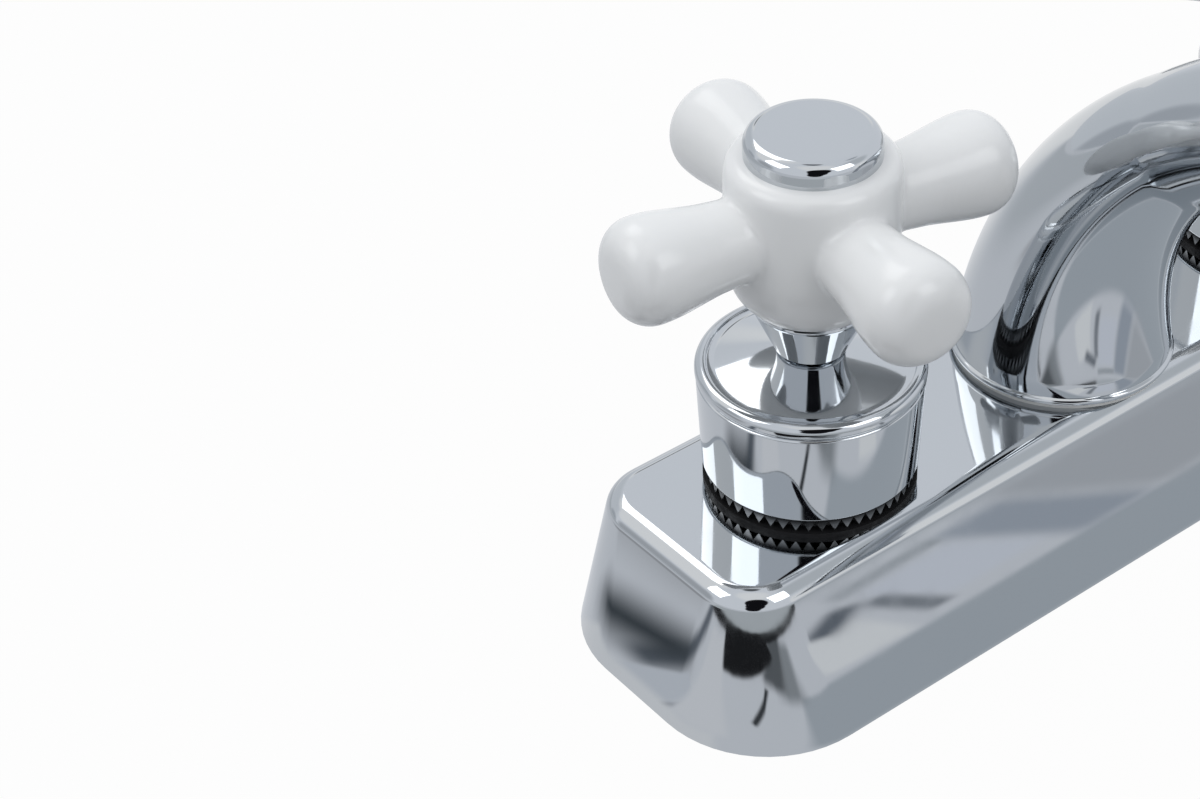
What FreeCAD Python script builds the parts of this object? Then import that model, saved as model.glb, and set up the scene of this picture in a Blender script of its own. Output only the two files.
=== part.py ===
# Basin mixer tap: a two-handle centreset tap with porcelain cross handles
# and a tapered horn spout. Units are millimetres. The origin is on the
# counter under the middle of the deck, +Z is up and the spout points to -Y.
import FreeCAD, Part
import math
import os
import Sketcher

DOC = FreeCAD.newDocument("basin_mixer_tap")

# Driving sizes, each written once.
SIZES = {
    # cast deck
    "handle_spacing": 101.6,
    "foot_overhang": 34.0,
    "foot_depth": 53.0,
    "foot_corner": 19.0,
    "end_slope": 5.8,
    "side_slope": 8.3,
    "top_corner": 8.5,
    "deck_height": 26.0,
    "edge_round": 3.6,
    "deck_wall": 3.0,
    # wells and waterway in the deck
    "well_radius": 13.2,
    "chamber_radius": 9.5,
    "seat_height": 12.0,
    "seat_web": 3.0,
    "port_radius": 4.5,
    "gallery_height": 18.0,
    "gallery_radius": 6.5,
    "gallery_bore": 4.0,
    "gasket_thickness": 3.0,
    "gasket_gap": 0.3,
    # fixing below the counter
    "shank_radius": 11.0,
    "shank_bore": 7.4,
    "shank_length": 44.0,
    "thread_chamfer": 1.0,
    "tail_radius": 10.4,
    "tail_length": 7.5,
    "runout_width": 1.0,
    "runout_depth": 0.6,
    "counter_room": 24.0,
    "washer_radius": 19.0,
    "washer_thickness": 2.0,
    "nut_across": 30.0,
    "nut_height": 9.0,
    "thread_gap": 0.05,
    # valve cartridge
    "seal_thickness": 1.5,
    "seal_bore": 5.0,
    "housing_flange": 11.0,
    "housing_flange_height": 3.5,
    "housing_neck": 8.5,
    "housing_top": 41.0,
    "housing_cavity": 7.6,
    "cavity_depth": 11.0,
    "window_width": 7.0,
    "window_height": 6.0,
    "disc_radius": 7.3,
    "disc_thickness": 3.0,
    "disc_port": 2.2,
    "disc_port_offset": 4.2,
    "stem_radius": 4.0,
    "stem_square": 5.4,
    "square_rise": 9.4,
    "spindle_drop": 4.0,
    "running_gap": 0.06,
    "ring_groove_height": 34.0,
    "ring_section": 1.0,
    "groove_share": 0.6,
    # bonnet and its serrated ring
    "bonnet_lift": 3.2,
    "bonnet_foot": 16.1,
    "bonnet_shoulder": 16.75,
    "bonnet_height": 15.0,
    "bead_height": 2.6,
    "bead_step": 0.15,
    "bead_round": 1.25,
    "rim_width": 1.7,
    "rim_round": 0.35,
    "rim_depth": 0.5,
    "bonnet_wall": 2.1,
    "dish_depth": 2.4,
    "dish_bend": 10.0,
    "dish_bend_rise": 0.65,
    "neck_hole": 5.0,
    "thread_boss": 11.2,
    "tooth_count": 52,
    "tooth_height": 1.7,
    "tooth_collar": 0.5,
    "tooth_fill": 0.96,
    "tooth_inner": 14.3,
    "tooth_outer": 15.6,
    "ring_inner": 12.3,
    "ring_spigot": 2.4,
    "pad_radius": 16.0,
    "pad_thickness": 0.8,
    # handle
    "left_handle_angle": 10.4,
    "right_handle_angle": 24.0,
    "neck_radius": 4.7,
    "neck_start": 43.6,
    "collar_start": 49.2,
    "hub_start": 56.2,
    "collar_top": 8.1,
    "hub_foot": 8.9,
    "hub_waist": 11.0,
    "hub_waist_height": 3.0,
    "hub_radius": 12.4,
    "hub_swell": 7.0,
    "hub_crown": 10.2,
    "hub_lip": 2.4,
    "arm_height": 71.2,
    "arm_reach": 31.4,
    "arm_root": 5.9,
    "arm_end": 7.75,
    "arm_end_length": 5.4,
    "arm_round": 5.2,
    "socket_radius": 6.6,
    "insert_radius": 6.5,
    "insert_drop": 11.4,
    "screw_radius": 1.9,
    "screw_gap": 0.1,
    "screw_head": 4.2,
    "screw_head_height": 2.6,
    "screw_edge": 1.0,
    "screw_slot": 0.8,
    "screw_length": 12.0,
    "cap_radius": 9.65,
    "cap_thickness": 3.6,
    "cap_round": 1.9,
    "cap_plug": 9.1,
    "cap_plug_depth": 3.6,
    "cap_wall": 1.6,
    "cap_plug_wall": 1.0,
    "cap_recess": 6.0,
    # spout
    "spout_forward": 2.0,
    "spout_turn_limit": 30.0,
    "spout_bend": 58.0,
    "spout_sweep": 150.0,
    "spout_rise": 1.6,
    "spout_root": 17.0,
    "spout_tip": 10.0,
    "spout_taper_length": 50.0,
    "spout_taper_power": 1.08,
    "spout_wall": 2.2,
    "lip_radius": 17.5,
    "lip_height": 1.0,
    "slip_thickness": 0.8,
    "stem_pipe": 9.9,
    "stem_pipe_bore": 6.0,
    "stem_pipe_bottom": 3.6,
    "stem_port_radius": 3.5,
    "socket_wall": 13.8,
    "socket_bottom": 6.5,
    "clip_outer": 12.4,
    "clip_depth": 1.0,
    "clip_thickness": 1.2,
    "clip_opening": 6.0,
    "spout_ring_section": 1.6,
    "upper_ring_height": 22.6,
    "lower_ring_height": 11.2,
    "stop_radius": 1.2,
    "stop_offset": 11.9,
    "stop_depth": 4.8,
    "stop_slot_depth": 2.0,
    "stop_slot_gap": 0.2,
    # outlet
    "outlet_length": 7.0,
    "outlet_radius": 11.4,
    "throat_radius": 7.36,
    "aerator_radius": 11.8,
    "aerator_length": 9.0,
    "aerator_engage": 6.0,
    "aerator_thread": 9.0,
    "aerator_bore": 8.0,
    "mesh_thickness": 4.0,
    "mesh_inset": 1.0,
    "mesh_centre_hole": 1.0,
    "mesh_hole": 1.35,
    "mesh_ring": 4.4,
    "tip_round": 0.8,
    "sleeve_gap": 0.1,
}

SHEET = DOC.addObject("Spreadsheet::Sheet", "sizes")
for row, (name, value) in enumerate(SIZES.items(), start=1):
    SHEET.set(f"A{row}", name)
    SHEET.set(f"B{row}", str(value))
    SHEET.setAlias(f"B{row}", name)
DOC.recompute()


class Length:
    """A number that remembers the spreadsheet formula behind it."""

    def __init__(self, value, formula):
        self.value = float(value)
        self.formula = formula

    @staticmethod
    def of(item):
        if isinstance(item, Length):
            return item
        return Length(item, repr(float(item)))

    def __add__(self, other):
        other = Length.of(other)
        return Length(self.value + other.value, f"({self.formula} + {other.formula})")

    def __sub__(self, other):
        other = Length.of(other)
        return Length(self.value - other.value, f"({self.formula} - {other.formula})")

    def __mul__(self, other):
        other = Length.of(other)
        return Length(self.value * other.value, f"({self.formula} * {other.formula})")

    def __truediv__(self, other):
        other = Length.of(other)
        return Length(self.value / other.value, f"({self.formula} / {other.formula})")

    def __neg__(self):
        return Length(0.0, "0") - self

    def __radd__(self, other):
        return Length.of(other) + self

    def __rsub__(self, other):
        return Length.of(other) - self

    def __rmul__(self, other):
        return Length.of(other) * self


def size(name):
    return Length(SIZES[name], f"sizes.{name}")


def bind(item, prop, amount):
    item.setExpression(prop, Length.of(amount).formula)


# Sketching.

def new_body(label):
    body = DOC.addObject("PartDesign::Body", label)
    body.Label = label
    return body


def origin_plane(body, role):
    return next(item for item in body.Origin.OriginFeatures if item.Role == role)


def new_sketch(body, name, role="XY_Plane", level=None):
    sketch = body.newObject("Sketcher::SketchObject", name)
    sketch.AttachmentSupport = [(origin_plane(body, role), "")]
    sketch.MapMode = "FlatFace"
    if level is not None:
        bind(sketch, "AttachmentOffset.Base.z", level)
    return sketch


def hold_coordinate(sketch, kind, geometry, end, amount):
    """Ties one coordinate of a point to a formula, or to the axis where it is nought."""
    amount = Length.of(amount)
    if amount.formula in ("0", "0.0"):
        axis = -2 if kind == "DistanceX" else -1
        sketch.addConstraint(Sketcher.Constraint("PointOnObject", geometry, end, axis))
        return
    index = sketch.addConstraint(Sketcher.Constraint(kind, geometry, end, amount.value))
    sketch.setExpression(f"Constraints[{index}]", amount.formula)


def hold_point(sketch, geometry, end, across, up):
    hold_coordinate(sketch, "DistanceX", geometry, end, across)
    hold_coordinate(sketch, "DistanceY", geometry, end, up)


def vector(point):
    return FreeCAD.Vector(Length.of(point[0]).value, Length.of(point[1]).value, 0)


def draw_outline(sketch, points):
    """A closed outline of straight lines through the given points."""
    count = len(points)
    first = None
    for index, point in enumerate(points):
        ahead = points[(index + 1) % count]
        line = sketch.addGeometry(Part.LineSegment(vector(point), vector(ahead)), False)
        first = line if first is None else first
    for index in range(count):
        following = first + (index + 1) % count
        sketch.addConstraint(Sketcher.Constraint("Coincident", first + index, 2, following, 1))
    for index, point in enumerate(points):
        hold_point(sketch, first + index, 1, point[0], point[1])


def draw_circle(sketch, across, up, radius):
    centre = vector((across, up))
    shape = Part.Circle(centre, FreeCAD.Vector(0, 0, 1), Length.of(radius).value)
    circle = sketch.addGeometry(shape, False)
    hold_point(sketch, circle, 3, across, up)
    index = sketch.addConstraint(Sketcher.Constraint("Radius", circle, Length.of(radius).value))
    sketch.setExpression(f"Constraints[{index}]", Length.of(radius).formula)


def draw_rounded_box(sketch, length, depth, corner):
    """A rectangle about the origin whose corners are quarter circles."""
    arcs = []
    signs = ((1, 1), (-1, 1), (-1, -1), (1, -1))
    across = length / 2 - corner
    up = depth / 2 - corner
    radius = Length.of(corner).value
    for turn, (side, face) in enumerate(signs):
        centre = FreeCAD.Vector(side * across.value, face * up.value, 0)
        circle = Part.Circle(centre, FreeCAD.Vector(0, 0, 1), radius)
        start = turn * math.pi / 2
        arc = sketch.addGeometry(Part.ArcOfCircle(circle, start, start + math.pi / 2), False)
        arcs.append(arc)
        hold_point(sketch, arc, 3, across * side, up * face)
        index = sketch.addConstraint(Sketcher.Constraint("Radius", arc, radius))
        sketch.setExpression(f"Constraints[{index}]", Length.of(corner).formula)
        level, plumb = ("Horizontal", "Vertical") if turn % 2 == 0 else ("Vertical", "Horizontal")
        sketch.addConstraint(Sketcher.Constraint(level, arc, 1, arc, 3))
        sketch.addConstraint(Sketcher.Constraint(plumb, arc, 2, arc, 3))
    for turn in range(4):
        here = arcs[turn]
        ahead = arcs[(turn + 1) % 4]
        start = sketch.getPoint(here, 2)
        stop = sketch.getPoint(ahead, 1)
        line = sketch.addGeometry(Part.LineSegment(start, stop), False)
        sketch.addConstraint(Sketcher.Constraint("Coincident", line, 1, here, 2))
        sketch.addConstraint(Sketcher.Constraint("Coincident", line, 2, ahead, 1))


# Features.

def revolve(body, name, points, cut=False):
    """Turns an outline of (radius, height) points round the piece's own upright axis."""
    sketch = new_sketch(body, f"{name}_outline", "XZ_Plane")
    draw_outline(sketch, points)
    kind = "PartDesign::Groove" if cut else "PartDesign::Revolution"
    feature = body.newObject(kind, name)
    feature.Profile = sketch
    feature.ReferenceAxis = (sketch, ["V_Axis"])
    feature.Angle = 360.0
    sketch.Visibility = False
    return feature


def extrude(body, name, sketch, length, cut=False):
    """A pad goes up from its sketch, and a pocket goes down from it."""
    kind = "PartDesign::Pocket" if cut else "PartDesign::Pad"
    feature = body.newObject(kind, name)
    feature.Profile = sketch
    bind(feature, "Length", length)
    return feature


def round_edges(body, name, wanted, radius):
    """Rounds the edges of the tip that the test picks out."""
    DOC.recompute()
    base = body.Tip
    names = []
    for index, edge in enumerate(base.Shape.Edges, start=1):
        if wanted(edge):
            names.append(f"Edge{index}")
    feature = body.newObject("PartDesign::Fillet", name)
    feature.Base = (base, names)
    bind(feature, "Radius", radius)
    return feature


def circle_edge(radius, height):
    """Picks the level circle of one radius at one height."""
    radius = Length.of(radius).value
    height = Length.of(height).value

    def test(edge):
        curve = edge.Curve
        if not isinstance(curve, Part.Circle):
            return False
        return abs(curve.Radius - radius) < 1e-3 and abs(curve.Center.z - height) < 1e-3
    return test


def spokes(count, radius, first):
    """Points evenly spaced on a circle, the first at an angle in degrees."""
    points = []
    for turn in range(count):
        angle = math.radians(360 / count * turn + first)
        point = (radius * math.cos(angle), radius * math.sin(angle))
        points.append(tuple(part if abs(part.value) > 1e-6 else 0 for part in point))
    return points


def polar(body, name, originals, count):
    pattern = body.newObject("PartDesign::PolarPattern", name)
    pattern.Originals = originals
    pattern.Axis = (origin_plane(body, "Z_Axis"), [""])
    pattern.Angle = 360.0
    pattern.Occurrences = count
    body.Tip = pattern
    return pattern


def turned_piece(label, points):
    body = new_body(label)
    revolve(body, "turning", points)
    return body


def move_to(body, across, forward, turn=None):
    if turn is not None:
        body.Placement.Rotation = FreeCAD.Rotation(FreeCAD.Vector(0, 0, 1), turn.value)
        bind(body, "Placement.Rotation.Angle", turn)
    bind(body, "Placement.Base.x", across)
    bind(body, "Placement.Base.y", forward)


# How far a cutting outline runs past the piece.
OVERRUN = 1.0

PIECES = []


def keep(body):
    PIECES.append(body)
    return body


# Heights and radii that more than one piece shares.
foot_length = size("handle_spacing") + size("foot_overhang") * 2
top_length = foot_length - size("end_slope") * 2
top_depth = size("foot_depth") - size("side_slope") * 2
deck_top = size("deck_height")
bonnet_base = deck_top + size("bonnet_lift")
bead_base = bonnet_base + size("bonnet_height")
bead_top = bead_base + size("bead_height")
bead_radius = size("bonnet_shoulder") + size("bead_step")
dish_floor = bead_top - size("dish_depth")
housing_base = size("seat_height") + size("seal_thickness")
disc_joint = housing_base + size("disc_thickness")
driver_base = disc_joint + size("disc_thickness")
half_spacing = size("handle_spacing") / 2
spout_y = -size("spout_forward")
spout_seat = deck_top + size("slip_thickness")
spout_start = spout_seat + size("lip_height")
shank_foot = -size("shank_length")
nut_top = -size("counter_room") - size("washer_thickness")
square_base = size("neck_start") + size("square_rise")
hub_top = size("arm_height") + size("hub_crown")
insert_top = hub_top - size("insert_drop")
spindle_top = insert_top - size("spindle_drop")


# Deck: one chromed casting, hollow below, with two valve wells and the
# spout socket joined by a waterway.
def make_deck():
    body = new_body("deck_body")
    foot = new_sketch(body, "foot_outline")
    draw_rounded_box(foot, foot_length, size("foot_depth"), size("foot_corner"))
    top = new_sketch(body, "top_outline", level=deck_top)
    draw_rounded_box(top, top_length, top_depth, size("top_corner"))
    shell = body.newObject("PartDesign::AdditiveLoft", "outer_form")
    shell.Profile = top
    shell.Sections = [foot]
    shell.Ruled = True
    top_level = deck_top.value

    def on_top(edge):
        return all(abs(vertex.Z - top_level) < 1e-3 for vertex in edge.Vertexes)
    round_edges(body, "top_edge", on_top, size("edge_round"))

    wall = size("deck_wall")
    lower = new_sketch(body, "hollow_foot")
    draw_rounded_box(lower, foot_length - wall * 2, size("foot_depth") - wall * 2,
                     size("foot_corner") - wall)
    upper = new_sketch(body, "hollow_top", level=deck_top - wall)
    climb = (deck_top - wall) / deck_top * 2
    draw_rounded_box(upper, foot_length - wall * 2 - size("end_slope") * climb,
                     size("foot_depth") - wall * 2 - size("side_slope") * climb,
                     size("top_corner") - wall / 2)
    hollow = body.newObject("PartDesign::SubtractiveLoft", "hollow")
    hollow.Profile = upper
    hollow.Sections = [lower]
    hollow.Ruled = True

    well_base = size("gasket_thickness")
    wells = new_sketch(body, "wells_outline", level=well_base)
    draw_circle(wells, half_spacing, 0, size("well_radius"))
    draw_circle(wells, -half_spacing, 0, size("well_radius"))
    extrude(body, "wells", wells, deck_top - wall / 2 - well_base)
    socket = new_sketch(body, "socket_outline", level=size("socket_bottom"))
    draw_circle(socket, 0, spout_y, size("socket_wall"))
    extrude(body, "socket", socket, deck_top - wall / 2 - size("socket_bottom"))

    # waterway between the wells
    gallery = new_sketch(body, "gallery_outline", "YZ_Plane")
    draw_circle(gallery, 0, size("gallery_height"), size("gallery_radius"))
    tube = extrude(body, "gallery", gallery, size("handle_spacing"))
    tube.Midplane = True

    chambers = new_sketch(body, "chamber_outline", level=deck_top)
    draw_circle(chambers, half_spacing, 0, size("chamber_radius"))
    draw_circle(chambers, -half_spacing, 0, size("chamber_radius"))
    extrude(body, "chambers", chambers, deck_top - size("seat_height"), cut=True)
    shank_hole = size("shank_radius") + size("thread_gap")
    sockets = new_sketch(body, "shank_hole_outline", level=size("seat_height") - size("seat_web"))
    draw_circle(sockets, half_spacing, 0, shank_hole)
    draw_circle(sockets, -half_spacing, 0, shank_hole)
    extrude(body, "shank_holes", sockets, size("seat_height"), cut=True)
    ports = new_sketch(body, "port_outline", level=size("seat_height"))
    draw_circle(ports, half_spacing, 0, size("port_radius"))
    draw_circle(ports, -half_spacing, 0, size("port_radius"))
    extrude(body, "ports", ports, size("seat_web"), cut=True)
    bore = new_sketch(body, "stem_bore_outline", level=deck_top)
    draw_circle(bore, 0, spout_y, size("stem_pipe") + size("running_gap"))
    extrude(body, "stem_bore", bore, deck_top, cut=True)
    waterway = new_sketch(body, "waterway_outline", "YZ_Plane")
    draw_circle(waterway, 0, size("gallery_height"), size("gallery_bore"))
    channel = extrude(body, "waterway", waterway, size("handle_spacing"), cut=True)
    channel.Midplane = True
    stop = new_sketch(body, "stop_hole_outline", level=deck_top)
    draw_circle(stop, 0, spout_y + size("stop_offset"), size("stop_radius"))
    extrude(body, "stop_hole", stop, size("stop_depth"), cut=True)
    keep(body)


# Gasket plate that closes the hollow foot against the counter.
def make_base_gasket():
    body = new_body("base_gasket")
    plate = new_sketch(body, "plate_outline")
    inset = (size("deck_wall") + size("gasket_gap")) * 2
    taper = size("side_slope") * (size("gasket_thickness") / deck_top) * 2
    draw_rounded_box(plate, foot_length - inset - taper,
                     size("foot_depth") - inset - taper, size("foot_corner") - inset / 2)
    extrude(body, "plate", plate, size("gasket_thickness"))
    holes = new_sketch(body, "hole_outline", level=size("gasket_thickness"))
    clear = size("shank_radius") + size("gasket_gap")
    draw_circle(holes, half_spacing, 0, clear)
    draw_circle(holes, -half_spacing, 0, clear)
    extrude(body, "holes", holes, size("gasket_thickness"), cut=True)
    keep(body)


# Threaded brass shank that carries the water up and holds the tap down. Its
# narrower tail takes the supply nut.
def make_shank(side, across):
    top = size("seat_height") - size("seat_web")
    outer = size("shank_radius")
    bore = size("shank_bore")
    tail = size("tail_radius")
    tail_top = shank_foot + size("tail_length")
    runout = tail - size("runout_depth")
    runout_top = tail_top + size("runout_width")
    chamfer = size("thread_chamfer")
    body = turned_piece(f"{side}_shank", [
        (bore, shank_foot), (tail - chamfer, shank_foot), (tail, shank_foot + chamfer),
        (tail, tail_top), (runout, tail_top), (runout, runout_top), (outer, runout_top),
        (outer, top), (bore, top)])
    move_to(body, across, 0)
    keep(body)


def make_mounting_washer(side, across):
    inner = size("shank_radius") + size("gasket_gap")
    low = nut_top
    high = nut_top + size("washer_thickness")
    body = turned_piece(f"{side}_mounting_washer",
                        [(inner, low), (size("washer_radius"), low),
                         (size("washer_radius"), high), (inner, high)])
    move_to(body, across, 0)
    keep(body)


# Six-sided nut with a round collar, run up the shank under the washer.
def make_mounting_nut(side, across):
    body = new_body(f"{side}_mounting_nut")
    corner = size("nut_across") / math.sqrt(3)
    collar = size("nut_height") / 4
    sketch = new_sketch(body, "hexagon_outline", level=nut_top - size("nut_height"))
    draw_outline(sketch, spokes(6, corner, 0))
    extrude(body, "hexagon", sketch, size("nut_height") - collar)
    flange = new_sketch(body, "flange_outline", level=nut_top - collar)
    draw_circle(flange, 0, 0, corner)
    extrude(body, "flange", flange, collar)
    hole = new_sketch(body, "thread_outline", level=nut_top)
    draw_circle(hole, 0, 0, size("shank_radius") + size("thread_gap"))
    extrude(body, "thread", hole, size("nut_height"), cut=True)
    move_to(body, across, 0)
    keep(body)


def make_seat_seal(side, across):
    outer = size("chamber_radius") - size("running_gap")
    low = size("seat_height")
    body = turned_piece(f"{side}_seat_seal",
                        [(size("seal_bore"), low), (outer, low),
                         (outer, housing_base), (size("seal_bore"), housing_base)])
    move_to(body, across, 0)
    keep(body)


# Brass valve housing: it drops into the well, its flange rests on the deck
# and its neck carries the bonnet.
def make_valve_housing(side, across):
    body = new_body(f"{side}_valve_housing")
    outer = size("chamber_radius") - size("running_gap")
    cavity_top = housing_base + size("cavity_depth")
    bore = size("stem_radius") + size("running_gap")
    flange_top = deck_top + size("housing_flange_height")
    revolve(body, "turning", [
        (size("housing_cavity"), housing_base), (outer, housing_base), (outer, deck_top),
        (size("housing_flange"), deck_top), (size("housing_flange"), flange_top),
        (size("housing_neck"), flange_top), (size("housing_neck"), size("housing_top")),
        (bore, size("housing_top")), (bore, cavity_top), (size("housing_cavity"), cavity_top)])
    window = new_sketch(body, "window_outline", "YZ_Plane")
    half = size("window_width") / 2
    low = size("gallery_height") - size("window_height") / 2 + size("disc_thickness")
    high = low + size("window_height") / 2
    draw_outline(window, [(-half, low), (half, low), (half, high), (-half, high)])
    cut = extrude(body, "windows", window, size("chamber_radius") * 2, cut=True)
    cut.Midplane = True
    move_to(body, across, 0)
    keep(body)


# Ceramic discs: two round ports each, which line up when the tap is open.
def make_disc(label, across, base, turn):
    body = new_body(label)
    radius = size("disc_radius")
    plate = new_sketch(body, "disc_outline", level=base)
    draw_circle(plate, 0, 0, radius)
    extrude(body, "disc", plate, size("disc_thickness"))
    ports = new_sketch(body, "port_outline", level=base + size("disc_thickness"))
    draw_circle(ports, size("disc_port_offset"), 0, size("disc_port"))
    draw_circle(ports, -size("disc_port_offset"), 0, size("disc_port"))
    extrude(body, "ports", ports, size("disc_thickness"), cut=True)
    move_to(body, across, 0, turn)
    keep(body)


# Spindle: the driver disc turns the moving disc, and the square at the top
# turns the handle.
def make_spindle(side, across, turn):
    body = new_body(f"{side}_spindle")
    stem = size("stem_radius")
    driver_top = driver_base + size("disc_thickness")
    groove = size("ring_groove_height")
    half_groove = size("ring_section") * size("groove_share")
    groove_floor = stem - size("ring_section")
    revolve(body, "turning", [
        (0, driver_base), (size("disc_radius"), driver_base), (size("disc_radius"), driver_top),
        (stem, driver_top), (stem, groove - half_groove), (groove_floor, groove - half_groove),
        (groove_floor, groove + half_groove), (stem, groove + half_groove),
        (stem, spindle_top), (0, spindle_top)])
    flats = new_sketch(body, "square_outline", level=spindle_top)
    half = size("stem_square") / 2
    rim = stem * 2
    draw_outline(flats, [(-rim, -rim), (rim, -rim), (rim, rim), (-rim, rim)])
    draw_outline(flats, [(-half, -half), (half, -half), (half, half), (-half, half)])
    extrude(body, "square", flats, spindle_top - square_base, cut=True)
    thread = new_sketch(body, "screw_hole_outline", level=spindle_top)
    draw_circle(thread, 0, 0, size("screw_radius") + size("thread_gap"))
    extrude(body, "screw_hole", thread, size("screw_length"), cut=True)
    move_to(body, across, 0, turn)
    keep(body)


def make_ring(label, across, forward, height, centre, section):
    """A round-section rubber ring."""
    torus = DOC.addObject("Part::Torus", label)
    torus.Label = label
    bind(torus, "Radius1", centre)
    bind(torus, "Radius2", section)
    bind(torus, "Placement.Base.z", height)
    move_to(torus, across, forward)
    keep(torus)


def make_spindle_ring(side, across):
    half = size("ring_section") / 2
    centre = size("stem_radius") - half
    make_ring(f"{side}_spindle_ring", across, 0, size("ring_groove_height"), centre, half)


# Black pad that seals the housing flange and the serrated ring to the deck.
def make_bonnet_pad(side, across):
    inner = size("housing_flange") + size("gasket_gap")
    outer = size("pad_radius")
    body = turned_piece(f"{side}_bonnet_pad",
                        [(inner, deck_top), (outer, deck_top),
                         (outer, deck_top + size("pad_thickness")),
                         (inner, deck_top + size("pad_thickness"))])
    move_to(body, across, 0)
    keep(body)


# Serrated ring under the bonnet, with a crown of pointed teeth that bite down.
def make_serrated_ring(side, across):
    body = new_body(f"{side}_serrated_ring")
    seat = deck_top + size("pad_thickness")
    core = size("tooth_inner") - size("sleeve_gap")
    tooth_base = bonnet_base - size("tooth_collar")
    revolve(body, "ring", [
        (size("ring_inner"), seat), (core, seat), (core, tooth_base),
        (size("tooth_outer"), tooth_base), (size("tooth_outer"), bonnet_base),
        (core, bonnet_base), (core, bonnet_base + size("ring_spigot")),
        (size("ring_inner"), bonnet_base + size("ring_spigot"))])
    tooth = new_sketch(body, "tooth_outline", "YZ_Plane", level=size("tooth_inner"))
    half = size("tooth_outer") * size("tooth_fill") * (math.pi / SIZES["tooth_count"])
    draw_outline(tooth, [(-half, tooth_base), (0, tooth_base - size("tooth_height")),
                         (half, tooth_base)])
    point = extrude(body, "tooth", tooth, size("tooth_outer") - size("tooth_inner"))
    polar(body, "teeth", [point], SIZES["tooth_count"])
    move_to(body, across, 0)
    keep(body)


# Bonnet: a chromed cup that screws onto the housing neck. A rolled bead runs
# round its top and the middle is dished.
def make_bonnet(side, across):
    body = new_body(f"{side}_bonnet")
    wall = size("bonnet_wall")
    inner = size("tooth_inner")
    ceiling = dish_floor - wall
    rim_inner = bead_radius - size("rim_width")
    thread = size("housing_neck") + size("thread_gap")
    boss_base = bonnet_base + size("ring_spigot")
    revolve(body, "turning", [
        (inner, bonnet_base), (size("bonnet_foot"), bonnet_base),
        (size("bonnet_shoulder"), bead_base), (bead_radius, bead_base), (bead_radius, bead_top),
        (rim_inner, bead_top), (rim_inner, bead_top - size("rim_depth")),
        (size("dish_bend"), dish_floor + size("dish_bend_rise")),
        (size("neck_hole"), dish_floor), (size("neck_hole"), ceiling), (thread, ceiling),
        (thread, boss_base), (size("thread_boss"), boss_base), (size("thread_boss"), ceiling),
        (inner, ceiling)])
    round_edges(body, "bead", circle_edge(bead_radius, bead_top), size("bead_round"))
    round_edges(body, "rim", circle_edge(rim_inner, bead_top), size("rim_round"))
    move_to(body, across, 0)
    keep(body)


# Chrome collar and insert: the cone shows under the porcelain, the neck drops
# through the bonnet and the insert above grips the spindle square.
def make_collar(side, across, turn):
    body = new_body(f"{side}_handle_collar")
    bore = size("stem_radius") + size("sleeve_gap")
    revolve(body, "turning", [
        (bore, size("neck_start")), (size("neck_radius"), size("neck_start")),
        (size("neck_radius"), size("collar_start")), (size("collar_top"), size("hub_start")),
        (size("insert_radius"), size("hub_start")), (size("insert_radius"), insert_top),
        (0, insert_top), (0, square_base), (bore, square_base)])
    hole = new_sketch(body, "square_outline", level=spindle_top + size("sleeve_gap"))
    half = size("stem_square") / 2 + size("sleeve_gap")
    draw_outline(hole, [(-half, -half), (half, -half), (half, half), (-half, half)])
    extrude(body, "square", hole, spindle_top - square_base + size("sleeve_gap") * 2, cut=True)
    shaft = new_sketch(body, "screw_way_outline", level=insert_top)
    draw_circle(shaft, 0, 0, size("screw_radius") + size("screw_gap"))
    extrude(body, "screw_way", shaft, insert_top - spindle_top, cut=True)
    move_to(body, across, 0, turn)
    keep(body)


# Porcelain cross: a hub with four arms that swell towards rounded ends.
def make_cross(side, across, turn):
    body = new_body(f"{side}_cross")
    start = size("hub_start")
    shoulder = hub_top - size("hub_lip")
    revolve(body, "hub", [
        (0, start), (size("hub_foot"), start), (size("hub_waist"), start + size("hub_waist_height")),
        (size("hub_radius"), start + size("hub_swell")), (size("hub_radius"), hub_top),
        (0, hub_top)])
    round_edges(body, "lip", circle_edge(size("hub_radius"), hub_top), size("hub_lip"))
    arm = new_sketch(body, "arm_outline", "XZ_Plane")
    bind(arm, "AttachmentOffset.Base.y", size("arm_height"))
    widest = size("arm_reach") - size("arm_end_length")
    draw_outline(arm, [(size("cap_plug"), 0), (size("arm_reach"), 0),
                       (size("arm_reach"), size("arm_end")), (widest, size("arm_end")),
                       (size("hub_radius"), size("arm_root")), (size("cap_plug"), size("arm_root"))])
    spun = body.newObject("PartDesign::Revolution", "arm")
    spun.Profile = arm
    spun.ReferenceAxis = (arm, ["H_Axis"])
    spun.Angle = 360.0
    arms = polar(body, "arms", [spun], 4)
    DOC.recompute()
    reach = SIZES["arm_reach"]
    end_radius = SIZES["arm_end"]

    def arm_rim(edge):
        curve = edge.Curve
        if not isinstance(curve, Part.Circle) or abs(curve.Radius - end_radius) > 1e-3:
            return False
        return abs(math.hypot(curve.Center.x, curve.Center.y) - reach) < 1e-3
    round_edges(body, "arm_ends", arm_rim, size("arm_round"))
    cavity_floor = hub_top - size("cap_recess")
    recess = size("cap_plug") + size("sleeve_gap")
    revolve(body, "recess", [(0, start - OVERRUN), (size("socket_radius"), start - OVERRUN),
                             (size("socket_radius"), cavity_floor), (recess, cavity_floor),
                             (recess, hub_top + OVERRUN), (0, hub_top + OVERRUN)], cut=True)
    move_to(body, across, 0, turn)
    keep(body)


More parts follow.
